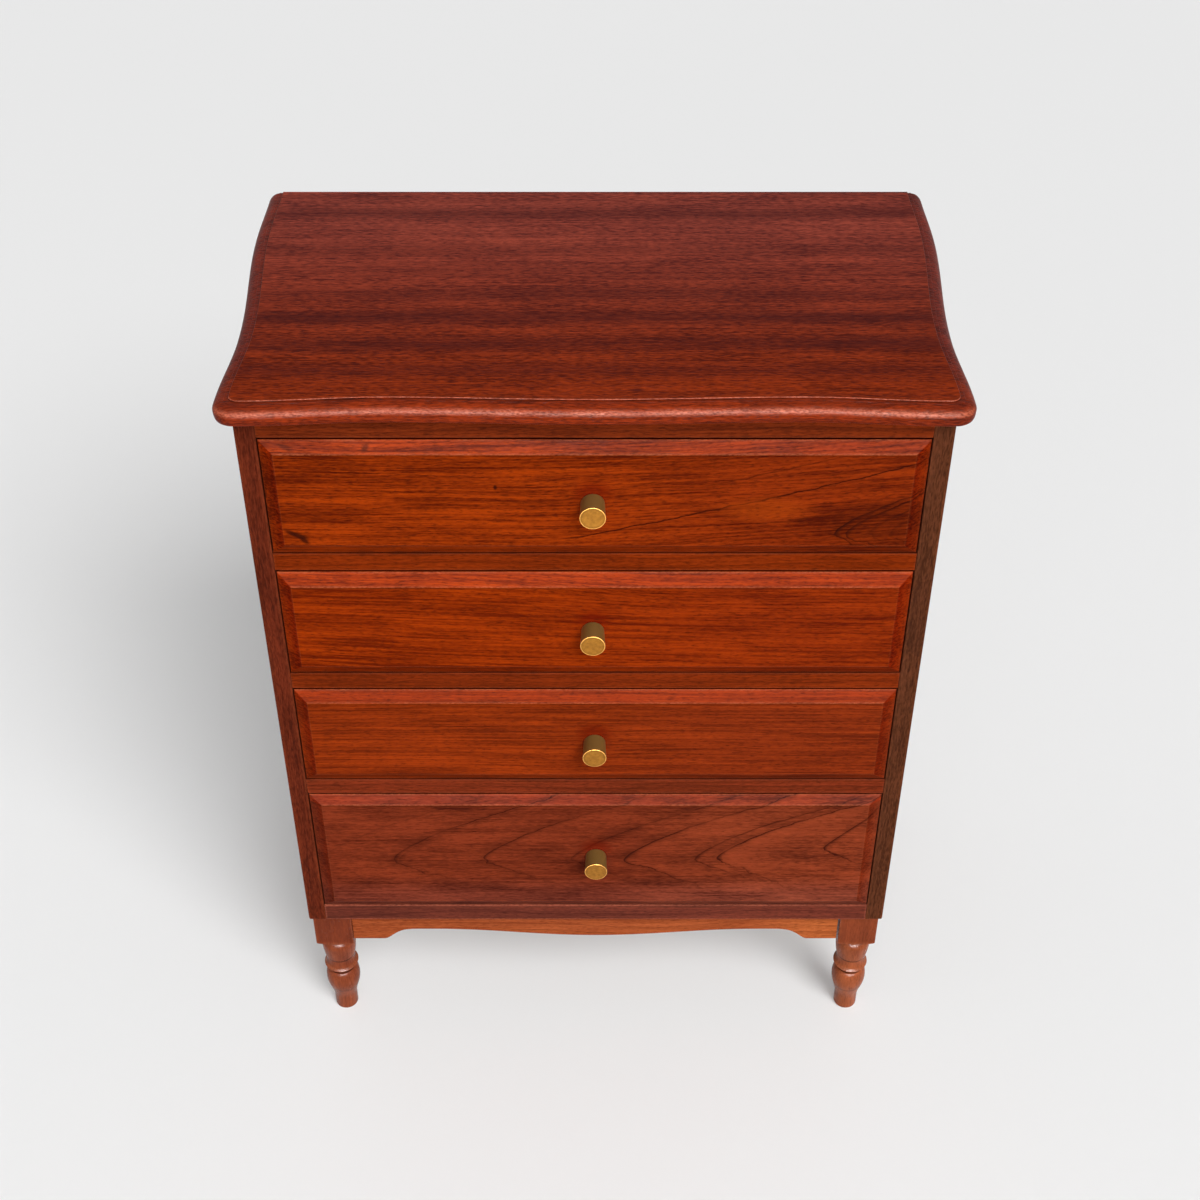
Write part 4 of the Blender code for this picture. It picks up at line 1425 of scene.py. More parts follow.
@dataclass
class TurnedLegs:
    """Four legs turned from square blanks: foot, vase, ring and drum under a square block."""

    foot: float = 0.0153
    foot_round: float = 0.0022
    foot_top: float = 0.0195
    vase: float = 0.02275
    vase_top: float = 0.0600
    neck: float = 0.0168
    groove_low: float = 0.0785
    groove_high: float = 0.0820
    lip: float = 0.0885
    ring: float = 0.0228
    flare: float = 5.0
    ring_top: float = 0.1055
    line: float = 0.0187
    line_top: float = 0.1068
    drum_foot: float = 0.0203
    drum: float = 0.0226
    drum_widest: float = 0.1300
    drum_shoulder: float = 0.1305
    drum_top: float = 0.1425
    drum_neck: float = 0.0120
    block_foot: float = 0.1480
    pommel_rise: float = 0.0040
    corner_wear: float = 0.25
    # A painted highlight on the ring's lip; painted shade in the V line, the groove and the score, near the
    # floor and under the block.
    lip_wear: float = 0.35
    line_shade: float = 0.70
    groove_shade: float = 0.65
    score_share: float = 0.6
    score_shade: float = 0.4
    sole_shade: float = 0.5
    arris: float = 0.0009
    hold: float = 0.0020
    steps: int = 14
    flat_share: float = 0.75
    flat_points: int = 15

    def profile(self) -> tuple[Array, Array, Array]:
        """The turned outline from the floor to under the block: rows of radius and height, wear and dirt.

        The vase is an eased run, its shoulder and the drum's are quarter ellipses. The ring's lip is an eased
        run out of the groove, its side flares to the lip by a power of the height, and the drum's body swells
        by a quarter sine.

        Returns:
            The profile's rows, the painted highlight on each row and the painted shade on it.
        """
        share = np.linspace(0.0, 1.0, self.steps)
        turn = share * np.pi / 2

        def taper(r0: float, z0: float, r1: float, z1: float) -> Array:
            """An eased run between two places."""
            return table(eased(r0, r1, share), z0 + (z1 - z0) * share)

        def shoulder(r0: float, z0: float, r1: float, z1: float) -> Array:
            """A quarter ellipse from an upright side in to a level top."""
            return table(r1 + (r0 - r1) * np.cos(turn), z0 + (z1 - z0) * np.sin(turn))

        sole = table(
            self.foot - self.foot_round * (1 - np.sin(turn)), self.foot_round * (1 - np.cos(turn))
        )
        body = table(
            self.drum_foot + (self.drum - self.drum_foot) * np.sin(turn),
            self.line_top + (self.drum_widest - self.line_top) * share,
        )
        side = table(
            self.line + (self.ring - self.line) * (1 - share) ** self.flare,
            self.lip + (self.ring_top - self.lip) * share,
        )
        members = (
            ((self.foot - self.foot_round - self.hold, 0.0),),
            sole,
            taper(self.foot, self.foot_top, self.vase, self.vase_top),
            shoulder(self.vase, self.vase_top, self.neck, self.groove_low)[1:],
            taper(self.neck, self.groove_high, self.ring, self.lip),
            side[1:],
            body,
            shoulder(self.drum, self.drum_shoulder, self.drum_neck, self.drum_top),
            ((self.drum_neck, self.block_foot),),
        )
        rows = np.concatenate(members)
        _, vase, _, groove, lip, line, *_ = np.cumsum([len(member) for member in members])
        wear, painted_shade = np.zeros(len(rows)), np.zeros(len(rows))
        # A painted highlight on the lip; painted shade near the floor, in the groove, under the V line, at
        # the score and under the block.
        wear[lip - 1 : lip + 2] = self.lip_wear
        painted_shade[: vase // 2] = self.sole_shade
        painted_shade[groove - 2 : groove + 1] = self.groove_shade
        painted_shade[line - 2 : line + 1] = self.line_shade
        painted_shade[vase + round(self.score_share * self.steps)] = self.score_shade
        painted_shade[-3:] = self.groove_shade
        return rows, wear, painted_shade

    def around(self) -> tuple[Array, Array]:
        """The angles of a ring's points and how far the blank's rounded square reaches at each.

        Returns:
            The angles in order, and the reach of the square there.
        """
        low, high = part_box("front_left_leg")
        half = (high.x - low.x) / 2
        square = rounded_outline(rectangle(-half, -half, half, half), self.arris, self.hold)
        corner_angles = np.arctan2(square.points[:, 1], square.points[:, 0])
        corner_reach = np.hypot(square.points[:, 0], square.points[:, 1])
        side = np.linspace(-self.flat_share, self.flat_share, self.flat_points) * np.pi / 4
        quarters = np.arange(4)[:, None] * np.pi / 2
        side_angles = (side[None] + quarters + np.pi).ravel() % (2 * np.pi) - np.pi
        side_reach = half / np.maximum(np.abs(np.cos(side_angles)), np.abs(np.sin(side_angles)))
        angles = np.concatenate((corner_angles, side_angles))
        order = np.argsort(angles)
        return angles[order], np.concatenate((corner_reach, side_reach))[order]

    def build(self, material: bpy.types.Material) -> None:
        """Turns the profile, lets the pommel run out to the square blank and carries that up to the case.

        On the pommel the radius grows from the neck to the square's reach, and the height is the pommel's
        rise times 1 - cos of the arc sine of the radius's share of the way to the square's corner.

        Args:
            material: The legs' finish.
        """
        angles, reach = self.around()
        profile, rubbed_and_sheen, shaded = self.profile()
        rings, lathe = turned(profile, angles)
        share = np.linspace(0.0, 1.0, self.steps)[1:, None]
        radius = self.drum_neck + (reach - self.drum_neck) * share
        lean = np.clip((radius - self.drum_neck) / (reach.max() - self.drum_neck), 0.0, 1.0)
        height = self.block_foot + self.pommel_rise * (1 - np.sqrt(1 - lean**2))
        pommel = table(radius * np.cos(angles), radius * np.sin(angles), height)
        for name in ("front_left_leg", "front_right_leg", "rear_left_leg", "rear_right_leg"):
            low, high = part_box(name)
            middle = np.array(((low.x + high.x) / 2, (low.y + high.y) / 2, 0.0))
            levels = (pommel[-1, :, 2] + self.hold, high.z - self.hold, high.z, high.z)
            block = np.repeat(pommel[-1:], len(levels), axis=0)
            block[..., 2] = table(*levels).T
            block[-1, :, :2] *= 1.0 - self.hold / reach.max()
            skin = np.concatenate((rings, pommel, block)) + middle
            wear = np.zeros(skin.shape[:2])
            wear[: len(rubbed_and_sheen)] = rubbed_and_sheen[:, None]
            crease = len(rings) + len(pommel) - 1
            wear[crease] = self.corner_wear
            corners = reach > reach.max() - self.arris
            wear[crease:, corners] = self.corner_wear
            painted_shade = np.zeros_like(wear)
            painted_shade[: len(shaded)] = shaded[:, None]
            # Painted shade under the block, fading out along the pommel.
            painted_shade[len(rings) : crease] = self.groove_shade * (1.0 - share[:-1])
            distance = np.concatenate((lathe, np.full(len(skin) - len(lathe), lathe[-1])))
            traits = {"wear": wear, "painted_shade": painted_shade, "lathe": np.broadcast_to(distance[:, None], wear.shape)}
            loft = Loft(skin, traits)
            add_piece(f"turned_{name}", loft, material, CARCASS, (name,))


@dataclass
class Drawer:
    """One drawer's fielded front and its turned brass knob."""

    number: int
    field_rise: float = 0.008
    bevel: float = 0.015
    edge_thickness: float = 0.014
    head_bevels: tuple[float, ...] = (0.0140, 0.0160, 0.0150, 0.0115)
    side_trim: float = 0.0003
    head_trim: float = 0.0012
    foot_trim: float = 0.0002
    end_grain_rim: float = 0.25
    # Painted highlight on the upper bevel; painted shade on the lower bevel, along the field's upper edge, on
    # the back and in the gap round the front.
    head_bevel_sheen: float = 0.05
    low_shade: float = 0.10
    low_calm: float = 0.7
    field_line: float = 0.35
    line_inset: float = 0.0009
    back_shade: float = 0.30
    gap_shade: float = 0.85
    edge_arris: float = 0.0006
    field_arris: float = 0.0011
    hold: float = 0.0024
    mitre_gap: float = 0.0008
    calm_ends: float = 0.8
    side_points: int = 14
    knob_rim: float = 0.0005
    knob_seat_share: float = 0.911
    knob_seat_round: float = 0.0004
    knob_dish: float = 0.00012
    knob_heel: float = 0.003
    knob_side_start: float = 0.001
    knob_side_points: int = 12
    knob_arc_points: int = 9
    knob_face_points: int = 24
    knob_face_reach: float = 0.96
    knob_dish_reach: float = 0.06
    knob_segments: int = 96

    @property
    def body(self) -> str:
        """The body that the drawer moves with."""
        return f"drawer_{self.number}"

    def section(self) -> Array:
        """The front's edge from back to field: rows of inset, distance forward, wear, end grain and painted
        shade.

        Between the edge and the bevel, and between the bevel and the field, the direction turns evenly along
        a small arc. A point that has turned by a lies the radius times 1 - cos a in and sin a forward from
        the outer arc's start. One with a still to turn lies sin a out and 1 - cos a back from the inner
        arc's end.

        Returns:
            The section's rows.
        """
        slope = math.atan2(self.field_rise, self.bevel)
        edge = self.edge_thickness
        full = edge + self.field_rise
        share = np.linspace(0.0, 1.0, ARC_STEPS + 1)
        setback = self.edge_arris * math.tan((math.pi / 2 - slope) / 2)
        lean = share * (math.pi / 2 - slope)
        outer = table(
            self.edge_arris * (1 - np.cos(lean)),
            edge - setback + self.edge_arris * np.sin(lean),
            1.0,
            self.end_grain_rim,
            0.0,
        )
        turn = slope * (1 - share)
        start = self.field_arris * math.tan(slope / 2)
        inner = table(
            self.bevel + start - self.field_arris * np.sin(turn),
            full - self.field_arris * (1 - np.cos(turn)),
            1.0,
            1.0 - share,
            0.0,
        )
        small = self.edge_arris
        rim = self.end_grain_rim
        # Painted shade on the back and the edge, darkest just behind the front arris, in the gap round the
        # front.
        back = (
            (self.hold, 0.0, 0.0, 0.0, self.back_shade),
            (small, 0.0, 0.0, 0.0, self.back_shade),
            (0.0, small, 0.0, rim, self.back_shade),
            (0.0, self.hold, 0.0, rim, self.back_shade),
            (0.0, edge - setback - 3 * self.hold, 0.0, rim, self.back_shade),
            (0.0, edge - setback - self.hold, 0.0, rim, self.gap_shade),
            (0.0, edge - setback - small, 0.0, rim, self.gap_shade),
        )
        across, forward = self.hold * math.cos(slope), self.hold * math.sin(slope)
        on_bevel = outer[-1] + np.array((across, forward, -1.0, 0.0, 0.0))
        near_field = inner[0] - np.array((across, forward, 1.0, 0.0, 0.0))
        on_line = inner[-1] + np.array((self.line_inset, 0.0, -1.0, 0.0, 0.0))
        on_field = inner[-1] + np.array((self.hold, 0.0, -1.0, 0.0, 0.0))
        return np.concatenate((back, outer, (on_bevel, near_field), inner, (on_line, on_field)))

    def build_front(self, material: bpy.types.Material) -> None:
        """Carries the section round the front's rectangle, mitred at its corners.

        The bevel along the top has its own width, so the rings are drawn up evenly from their foot to their
        head by what that bevel is narrower.

        Args:
            material: The front's finish.
        """
        name = f"{self.body}_front"
        low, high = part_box(name)
        foot, head = low.z + self.foot_trim, high.z - self.head_trim
        half = np.array(((high.x - low.x) / 2 - self.side_trim, (head - foot) / 2))
        middle = np.array(((low.x + high.x) / 2, (head + foot) / 2))
        level, upright = (
            np.concatenate(((-1.0,), np.linspace(-1.0 + gap, 1.0 - gap, self.side_points)))
            for gap in self.mitre_gap / half
        )
        sides = (table(level, -1.0), table(1.0, upright), table(-level, 1.0), table(-1.0, -upright))
        loop = np.concatenate(sides)
        along, cut = np.zeros_like(level), np.ones_like(level)
        along[0] = cut[0] = 0.5
        inset, reach, arris, cut_end, edge_shade = self.section().T[..., None]
        flat = middle + loop * (half - inset[..., None])
        narrower = self.bevel - self.head_bevels[self.number - 1]
        drawn_up = narrower * np.clip(inset / self.bevel, 0.0, 1.0)
        flat[..., 1] += drawn_up * (loop[:, 1] + 1.0) / 2.0
        rings = table(flat[..., 0], high.y - reach, flat[..., 1])
        ends = np.concatenate((along, cut, along, cut))
        # The arrises are rubbed and carry a painted highlight, weaker on the upright and lower ones; the
        # upper bevel gets a painted highlight too.
        wear = arris * (1.0 - self.calm_ends * ends)
        on_bevel = (inset > self.edge_arris / 2) & (inset < self.bevel)
        lower = np.concatenate((1.0 - along, np.zeros(len(loop) - len(along))))
        upper = np.roll(lower, 2 * len(along))
        wear = np.maximum(wear * (1.0 - self.low_calm * lower), self.head_bevel_sheen * on_bevel * upper)
        # Painted shade on the lower bevel, and a painted dark line along the field's upper edge.
        painted_shade = np.maximum(edge_shade, self.low_shade * on_bevel * lower)
        painted_shade[-2] = self.field_line * upper
        loft = Loft(rings, {"wear": wear, "end_grain": cut_end * ends, "painted_shade": painted_shade})
        add_piece(f"{self.body}_fielded_front", loft, material, self.body, (name,))

    def build_knob(self, material: bpy.types.Material) -> None:
        """Turns the knob about its axis: a rounded seat, a tapered side, a rounded rim and a dished face.

        Args:
            material: The knob's finish.
        """
        name = f"{self.body}_knob"
        low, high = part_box(name)
        radius = (high.x - low.x) / 2
        length = high.y - low.y
        seat_radius = radius * self.knob_seat_share
        turn = np.linspace(0.0, np.pi / 2, self.knob_arc_points)
        low_arc, high_arc = 1 - np.cos(turn), 1 - np.sin(turn)
        seat = table(seat_radius - self.knob_seat_round * high_arc, self.knob_seat_round * low_arc)
        taper = np.linspace(self.knob_seat_share, 1.0, self.knob_side_points + 2)[1:-1]
        side_end = length - 2 * self.knob_rim
        side = table(radius * taper, np.linspace(self.knob_side_start, side_end, self.knob_side_points))
        rim = table(radius - self.knob_rim * low_arc, length - self.knob_rim * high_arc)
        face_share = np.linspace(0.0, self.knob_face_reach, self.knob_face_points)
        dish = rise(face_share, 0.0, self.knob_dish_reach) * self.knob_dish
        face = table((radius - self.knob_rim) * (1 - face_share), length - dish)[1:]
        heel = ((seat_radius - self.knob_heel, 0.0),)
        profile = np.concatenate((heel, seat, side, rim, face))
        angles = np.linspace(-np.pi, np.pi, self.knob_segments, endpoint=False)
        rings, lathe = turned(profile, angles)
        rim_start = len(heel) + len(seat) + len(side)
        lathe = lathe - lathe[rim_start]
        middle = np.array(((low.x + high.x) / 2, high.y, (low.z + high.z) / 2))
        rings = table(rings[..., 0], -rings[..., 2], rings[..., 1]) + middle
        wear = np.zeros(len(profile))
        wear[rim_start + 1 : -len(face)] = 1.0
        traits = {"wear": wear, "lathe": lathe}
        around = (1, self.knob_segments)
        loft = Loft(rings, {trait: np.tile(values[:, None], around) for trait, values in traits.items()})
        add_piece(f"{self.body}_turned_knob", loft, material, self.body, (name,))


@dataclass
class InsideTimber:
    """The boards and screws inside the case, which keep their nodes and get a finish."""

    finishes: dict[str, bpy.types.Material]

    def dress(self) -> None:
        """Gives each remaining node the finish that its name asks for."""
        for name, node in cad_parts.items():
            key = next((part for part in self.finishes if part in name), None)
            if key is None or node.hide_render:
                continue
            for slot in node.material_slots:
                slot.material = self.finishes[key]
            log.info("%s: %s", name, self.finishes[key].name)


@dataclass
class Studio:
    """A pale floor, a soft key lamp from the front right, softboxes in front, a pale world and the camera."""

    floor_reach: float = 40.0
    floor_albedo: float = 0.67
    floor_lift: float = 0.18
    floor_rough: float = 0.9
    background: float = 0.83
    ambient: float = 0.34
    sun_from: Point = (0.52, -0.85, 1.0)
    sun_strength: float = 2.60
    sun_spread: float = math.radians(30)
    box_place: Point = (0.2, -3.2, 1.72)
    box_target: Point = (0.0, -0.2, 0.95)
    box_size: tuple[float, float] = (3.2, 0.26)
    box_power: float = 30.0
    sheen_place: Point = (0.5, -6.2, 3.8)
    sheen_size: tuple[float, float] = (5.0, 1.6)
    sheen_power: float = 3600.0
    camera_place: Point = (0.0057, -1.7612, 2.0502)
    camera_tilt: float = math.radians(50.262)
    lens: float = 54.373
    sensor: float = 36.0

    def build(self) -> None:
        """Sets the stage."""
        self.add_floor()
        self.add_world()
        sun = bpy.data.lights.new("soft_key", "SUN")
        sun.energy = self.sun_strength
        sun.angle = self.sun_spread
        self.add_lamp(sun, self.sun_from, Vector(self.sun_from))
        for name, place, size, power, glossy_only in (
            ("front_softbox", self.box_place, self.box_size, self.box_power, False),
            ("front_sheen", self.sheen_place, self.sheen_size, self.sheen_power, True),
        ):
            box = bpy.data.lights.new(name, "AREA")
            box.shape = "RECTANGLE"
            box.size, box.size_y = size
            box.energy = power
            self.add_lamp(box, place, Vector(place) - Vector(self.box_target), glossy_only)
        self.add_camera()
        bpy.context.scene.view_settings.view_transform = "Standard"

    def add_lamp(
        self, lamp: bpy.types.Light, place: Point, backward: Vector, glossy_only: bool = False
    ) -> None:
        """Hangs a lamp.

        Args:
            lamp: The lamp.
            place: Where it hangs.
            backward: The direction from what it lights towards it.
            glossy_only: Whether it shows only in reflections.
        """
        holder = put_in_scene(lamp.name, lamp)
        holder.location = place
        holder.rotation_euler = backward.to_track_quat("Z", "Y").to_euler()
        holder.visible_camera = False
        holder.visible_diffuse = not glossy_only

    def add_floor(self) -> None:
        """Lays the floor, a flat square that the eye and reflections see lifted towards white."""
        reach = self.floor_reach
        corners = [(x, y, 0.0) for x, y in rectangle(-reach, -reach, reach, reach)]
        mesh = bpy.data.meshes.new("pale_floor")
        mesh.from_pydata(corners, [], [range(len(corners))])
        material, bench, shader = start_material("floor_paint")
        paint = {
            "Base Color": (*[self.floor_albedo] * 3, 1.0),
            "Roughness": self.floor_rough,
            "Specular IOR Level": 0.0,
            "Emission Color": WHITE,
            "Emission Strength": self.seen(bench, 0.0, self.floor_lift),
        }
        bench.feed(shader, paint)
        mesh.materials.append(material)
        floor = put_in_scene("pale_floor", mesh)

    def add_world(self) -> None:
        """Makes the world pale to the eye and in reflections, and a softer light on surfaces."""
        world = bpy.data.worlds.new("pale_room")
        world.use_nodes = True
        bench = Bench(world.node_tree)
        strength = self.seen(bench, self.ambient, self.background)
        bench.feed(world.node_tree.nodes["Background"], {"Color": WHITE, "Strength": strength})
        bpy.context.scene.world = world

    def seen(self, bench: Bench, lighting: float, looking: float) -> Socket:
        """One strength for light on surfaces and another for the eye, reflections and clear pieces.

        Args:
            bench: The nodes to add to.
            lighting: Strength as a light.
            looking: Strength as it is seen.

        Returns:
            The strength.
        """
        path = bench.add("LightPath").outputs
        direct = bench.maths("MAXIMUM", path["Is Camera Ray"], path["Is Glossy Ray"])
        either = bench.maths("MAXIMUM", direct, path["Is Transmission Ray"])
        return bench.spread(either, 0.0, 1.0, lighting, looking)

    def add_camera(self) -> None:
        """Places the camera at the photograph's viewing angle."""
        lens = bpy.data.cameras.new("view")
        lens.lens = self.lens
        lens.sensor_width = self.sensor
        camera = put_in_scene("view", lens)
        camera.location = self.camera_place
        camera.rotation_euler = (self.camera_tilt, 0.0, 0.0)
        bpy.context.scene.camera = camera


def knob_halo(number: int) -> Mark:
    """Painted shade: a deeper red on the wood just above a knob.

    Args:
        number: The drawer's number.

    Returns:
        The mark, in the front's plane.
    """
    low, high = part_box(f"drawer_{number}_knob")
    place = ((low.x + high.x) / 2, high.y, high.z)
    return Mark(place, HALO_SIZE, HALO_STRENGTH, tint=HALO_TINT)


def head_glow(number: int, tint: Point) -> Drift:
    """Painted light: a warmer, lighter tone on a front's upper bevel, which faces up into the light.

    Args:
        number: The drawer's number.
        tint: The change of tone.

    Returns:
        The change, from the top of the field on.
    """
    drawer = Drawer(number)
    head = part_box(f"drawer_{number}_front")[1].z
    start = head - drawer.head_trim - drawer.head_bevels[number - 1]
    return Drift(tint, Axis.Z, start, start + drawer.line_inset)


def toned(name: str, tones: Sequence[Point], **settings: object) -> Timber:
    """A wood finish from the deep, pale and vein tones that a screen shows."""
    return Timber(name, *(shade(*tone) for tone in tones), **settings)


def top_finishes() -> dict[str, Timber]:
    """Finishes of the top: dark ribbons, a painted reflection, and a moulding with painted highlight and
    shaded ends.

    Returns:
        The finishes, by name.
    """
    front_bands = ((-0.1606, 0.70), (-0.1087, 1.00), (-0.0568, 0.95), (-0.0058, 0.65))
    back_bands = ((0.0450, 0.35), (0.0932, 0.50), (0.1815, 0.75))
    top = toned(
        "top_mahogany",
        ((82, 23, 7), (152, 53, 18), (56, 17, 18)),
        figure=RibbonFigure((*front_bands, *back_bands)),
        figure_depth=0.72, broad=0.7, streak=1.3, fleck=2.4, pore_depth=0.55, wander=0.006,
        specular=0.0095,
        marks=(
            Mark((0.0435, -0.1986, 1.030), (0.010, 0.004, 0.01), 0.7),
            Mark((-0.048, -0.159, 1.030), (0.008, 0.003, 0.01), 0.5),
        ),
        # Painted reflection: the top turns paler and bluer towards the back.
        drifts=(Drift((0.98, 1.55, 5.4), Axis.Y, -0.20, 0.20),),
    )
    moulding = toned(
        "moulding_mahogany",
        ((96, 29, 9), (150, 51, 17), (56, 16, 10)),
        # The worn tone is mostly a highlight painted along the front of the thumb.
        worn=shade(216, 118, 88), wear=0.90, fleck=2.8, specular=0.029, glossy=0.28, dull=0.40,
        relief=0.0006,
        # Painted shade: the moulding darkens behind the front and towards both ends.
        drifts=(
            Drift((0.80, 0.82, 1.5), Axis.Y, -0.20, -0.12),
            Drift((0.80, 0.84, 1.35), Axis.X, 0.32, 0.385),
            Drift((0.86, 0.88, 1.25), Axis.X, -0.32, -0.385),
        ),
    )
    return {"top_slab": top, "moulding": moulding}


def veined_front() -> Timber:
    """The first drawer's finish: climbing veins, a small nest of arches at the right, knots and a smudge.

    Returns:
        The finish.
    """
    field_y, bevel_y = -0.2099, -0.2060
    nest = Nest(
        lines=((0.2588, 1.0), (0.272, 1.0), (0.296, 0.6), (0.318, 0.45)),
        axis=0.853, arm_below=2.9, bow=15.0, fade=0.030, lead=0.0020, trail=0.0068,
    )
    veins = (
        Vein(0.835, -0.06, 0.37, 0.0015, 1.00),
        Vein(0.8686, 0.11, 0.28, 0.0012, 0.60),
        Vein(0.887, -0.16, 0.12, 0.0010, 0.35),
        Vein(0.896, -0.33, -0.02, 0.0010, 0.45),
        Vein(0.903, -0.30, 0.06, 0.0009, 0.35),
        Vein(0.912, -0.26, 0.02, 0.0009, 0.40),
        Vein(0.919, -0.34, -0.08, 0.0010, 0.45),
        Vein(0.874, -0.34, -0.14, 0.0009, 0.35),
    )
    marks = (
        knob_halo(1),
        Mark((0.184, field_y, 0.886), (0.060, 0.03, 0.020), 0.32, tint=shade(176, 70, 12)),
        Mark((0.310, field_y, 0.866), (0.090, 0.03, 0.040), 0.30),
        Mark((-0.1054, field_y, 0.9154), (0.0026, 0.02, 0.004), 0.9),
        Mark((-0.3285, field_y, 0.8550), (0.010, 0.02, 0.0040), 0.75, -30.0),
        Mark((-0.3195, field_y, 0.8505), (0.014, 0.02, 0.0048), 0.85, -24.0),
        Mark((-0.3145, field_y, 0.8440), (0.009, 0.02, 0.0040), 0.80, -44.0),
        Mark((-0.2395, bevel_y, 0.964), (0.007, 0.02, 0.004), 0.6, 50.0),
        Mark((-0.323, bevel_y, 0.964), (0.012, 0.02, 0.003), 0.5, -20.0),
    )
    return toned(
        "front_mahogany_veined",
        ((88, 24, 4), (154, 54, 7), (44, 13, 6)),
        figure=VeinFigure(nests=(nest,), slow=0.006, veins=veins),
        figure_depth=1.0, mottle=1.25, streak=2.4, fleck=1.3, wear=0.5, end_grain=0.9, marks=marks,
        # Painted shade: darker towards the right; painted light on the upper bevel.
        drifts=(Drift((0.79, 0.76, 1.38), Axis.X, -0.10, 0.25), head_glow(1, (1.28, 1.15, 0.96))),
    )


def bright_front() -> Timber:
    """The second drawer's finish: a few short veins that fall to the right.

    Returns:
        The finish.
    """
    veins = (
        Vein(0.754, -0.127, 0.06, 0.0009, 0.55),
        Vein(0.759, -0.10, 0.07, 0.0008, 0.45),
        Vein(0.763, -0.08, 0.10, 0.0009, 0.55),
        Vein(0.768, -0.06, 0.12, 0.0008, 0.45),
        Vein(0.773, -0.03, 0.14, 0.0009, 0.50),
        Vein(0.779, 0.00, 0.16, 0.0008, 0.40),
    )
    return toned(
        "front_mahogany_bright",
        ((97, 26, 4), (153, 52, 6), (54, 16, 6)),
        figure=VeinFigure(nests=(), veins=veins, before=-0.20, after=-0.10, turn=0.05, follow=0.2),
        figure_depth=0.7, mottle=1.25, streak=2.5, fleck=1.2, wear=0.5, end_grain=0.9,
        marks=(knob_halo(2),),
        # Painted shade: darker towards the right; painted light on the upper bevel.
        drifts=(Drift((0.90, 0.88, 1.55), Axis.X, -0.10, 0.25), head_glow(2, (1.30, 1.20, 0.90))),
    )


def red_front() -> Timber:
    """The third drawer's finish: straight, even grain.

    Returns:
        The finish.
    """
    return toned(
        "front_mahogany_red",
        ((100, 32, 8), (149, 53, 13), (58, 17, 8)),
        figure=RingFigure(pith=(0.7, 0.1), pitch=0.017, sharpness=8.0),
        figure_depth=0.30, mottle=1.15, streak=2.5, fleck=1.1, wear=0.5, end_grain=0.9,
        marks=(knob_halo(3),),
        # Painted shade: darker towards the right; painted light on the upper bevel.
        drifts=(Drift((0.93, 0.97, 1.5), Axis.X, -0.10, 0.25), head_glow(3, (1.16, 0.94, 0.67))),
    )


def arched_front() -> Timber:
    """The fourth drawer's finish: a row of arches, some with lighter wood inside.

    Returns:
        The finish.
    """
    left_lines = ((-0.345, 0.30), (-0.2556, 0.95), (-0.248, 0.40), (-0.1430, 0.85))
    right_lines = ((-0.0305, 0.70), (0.0366, 1.00), (0.1252, 0.80), (0.1515, 1.00))
    arches = Nest(
        lines=(*left_lines, *right_lines),
        axis=0.334, arm_below=2.1, fade=0.072, lead=0.0020, trail=0.0066, shade_lead=0.026,
        shade_share=0.38,
    )
    last_arch = Nest(lines=((0.2856, 1.0),), axis=0.3526, arm_above=1.0, bow=0.0, trail=0.0060)
    glows = ((-0.1430, 0.20), (0.0366, 0.30), (0.1515, 0.65))
    return toned(
        "front_mahogany_arched",
        ((72, 24, 13), (130, 52, 28), (36, 11, 8)),
        figure=CathedralFigure(nests=(arches, last_arch), glows=glows),
        figure_depth=0.94, broad=0.8, mottle=1.6, streak=1.3, fleck=1.4, pore_depth=0.30, wear=0.5,
        end_grain=0.8,
        marks=(knob_halo(4),),
        # The second drift is a painted reflection of the pale floor, paler and bluer towards the bottom; the
        # upper bevel gets painted light.
        drifts=(
            Drift((1.28, 1.42, 1.40), Axis.X, 0.00, 0.20),
            Drift((1.00, 1.25, 1.80), Axis.Z, 0.31, 0.26),
            head_glow(4, (1.35, 1.00, 0.80)),
        ),
    )


def case_finishes() -> dict[str, Timber]:
    """Finishes of the rails and side panels, which differ only in tone and in the base rail's lighter arris.

    Returns:
        The finishes, by the name of the node or the family of nodes that they dress.
    """
    rings = RingFigure(pith=(0.8, -0.4), pitch=0.010, slow=0.025, sharpness=6.0)
    rails = {
        "top_rail": ("dark", (95, 34, 13), (141, 54, 20), (48, 18, 10)),
        "drawer_rail_1": ("1", (95, 30, 5), (138, 48, 10), (56, 18, 6)),
        "drawer_rail_2": ("2", (94, 32, 8), (136, 48, 14), (56, 18, 8)),
        "drawer_rail_3": ("3", (94, 36, 17), (138, 53, 27), (56, 20, 12)),
        "base_rail": ("base", (88, 41, 31), (126, 59, 43), (52, 24, 20)),
        "rear_rail": ("rear", (92, 42, 26), (132, 64, 40), (56, 26, 18)),
    }
    sides = {
        "left_side": ("left", (70, 25, 13), (108, 43, 24), (46, 20, 14)),
        "right_side": ("right", (66, 35, 20), (100, 55, 34), (40, 22, 16)),
    }
    finishes = {}
    for name, (kind, *tones) in rails.items():
        finishes[name] = toned(f"rail_mahogany_{kind}", tones, figure=rings)
    # The base rail's top arris is lighter: rubbed, and with a painted highlight.
    finishes["base_rail"] = replace(finishes["base_rail"], worn=shade(206, 116, 86), wear=0.4)
    for name, (kind, *tones) in sides.items():
        finishes[name] = toned(
            f"side_mahogany_{kind}", tones, run=Run.Z, figure=rings, figure_depth=0.3, fleck=2.4
        )
    return finishes


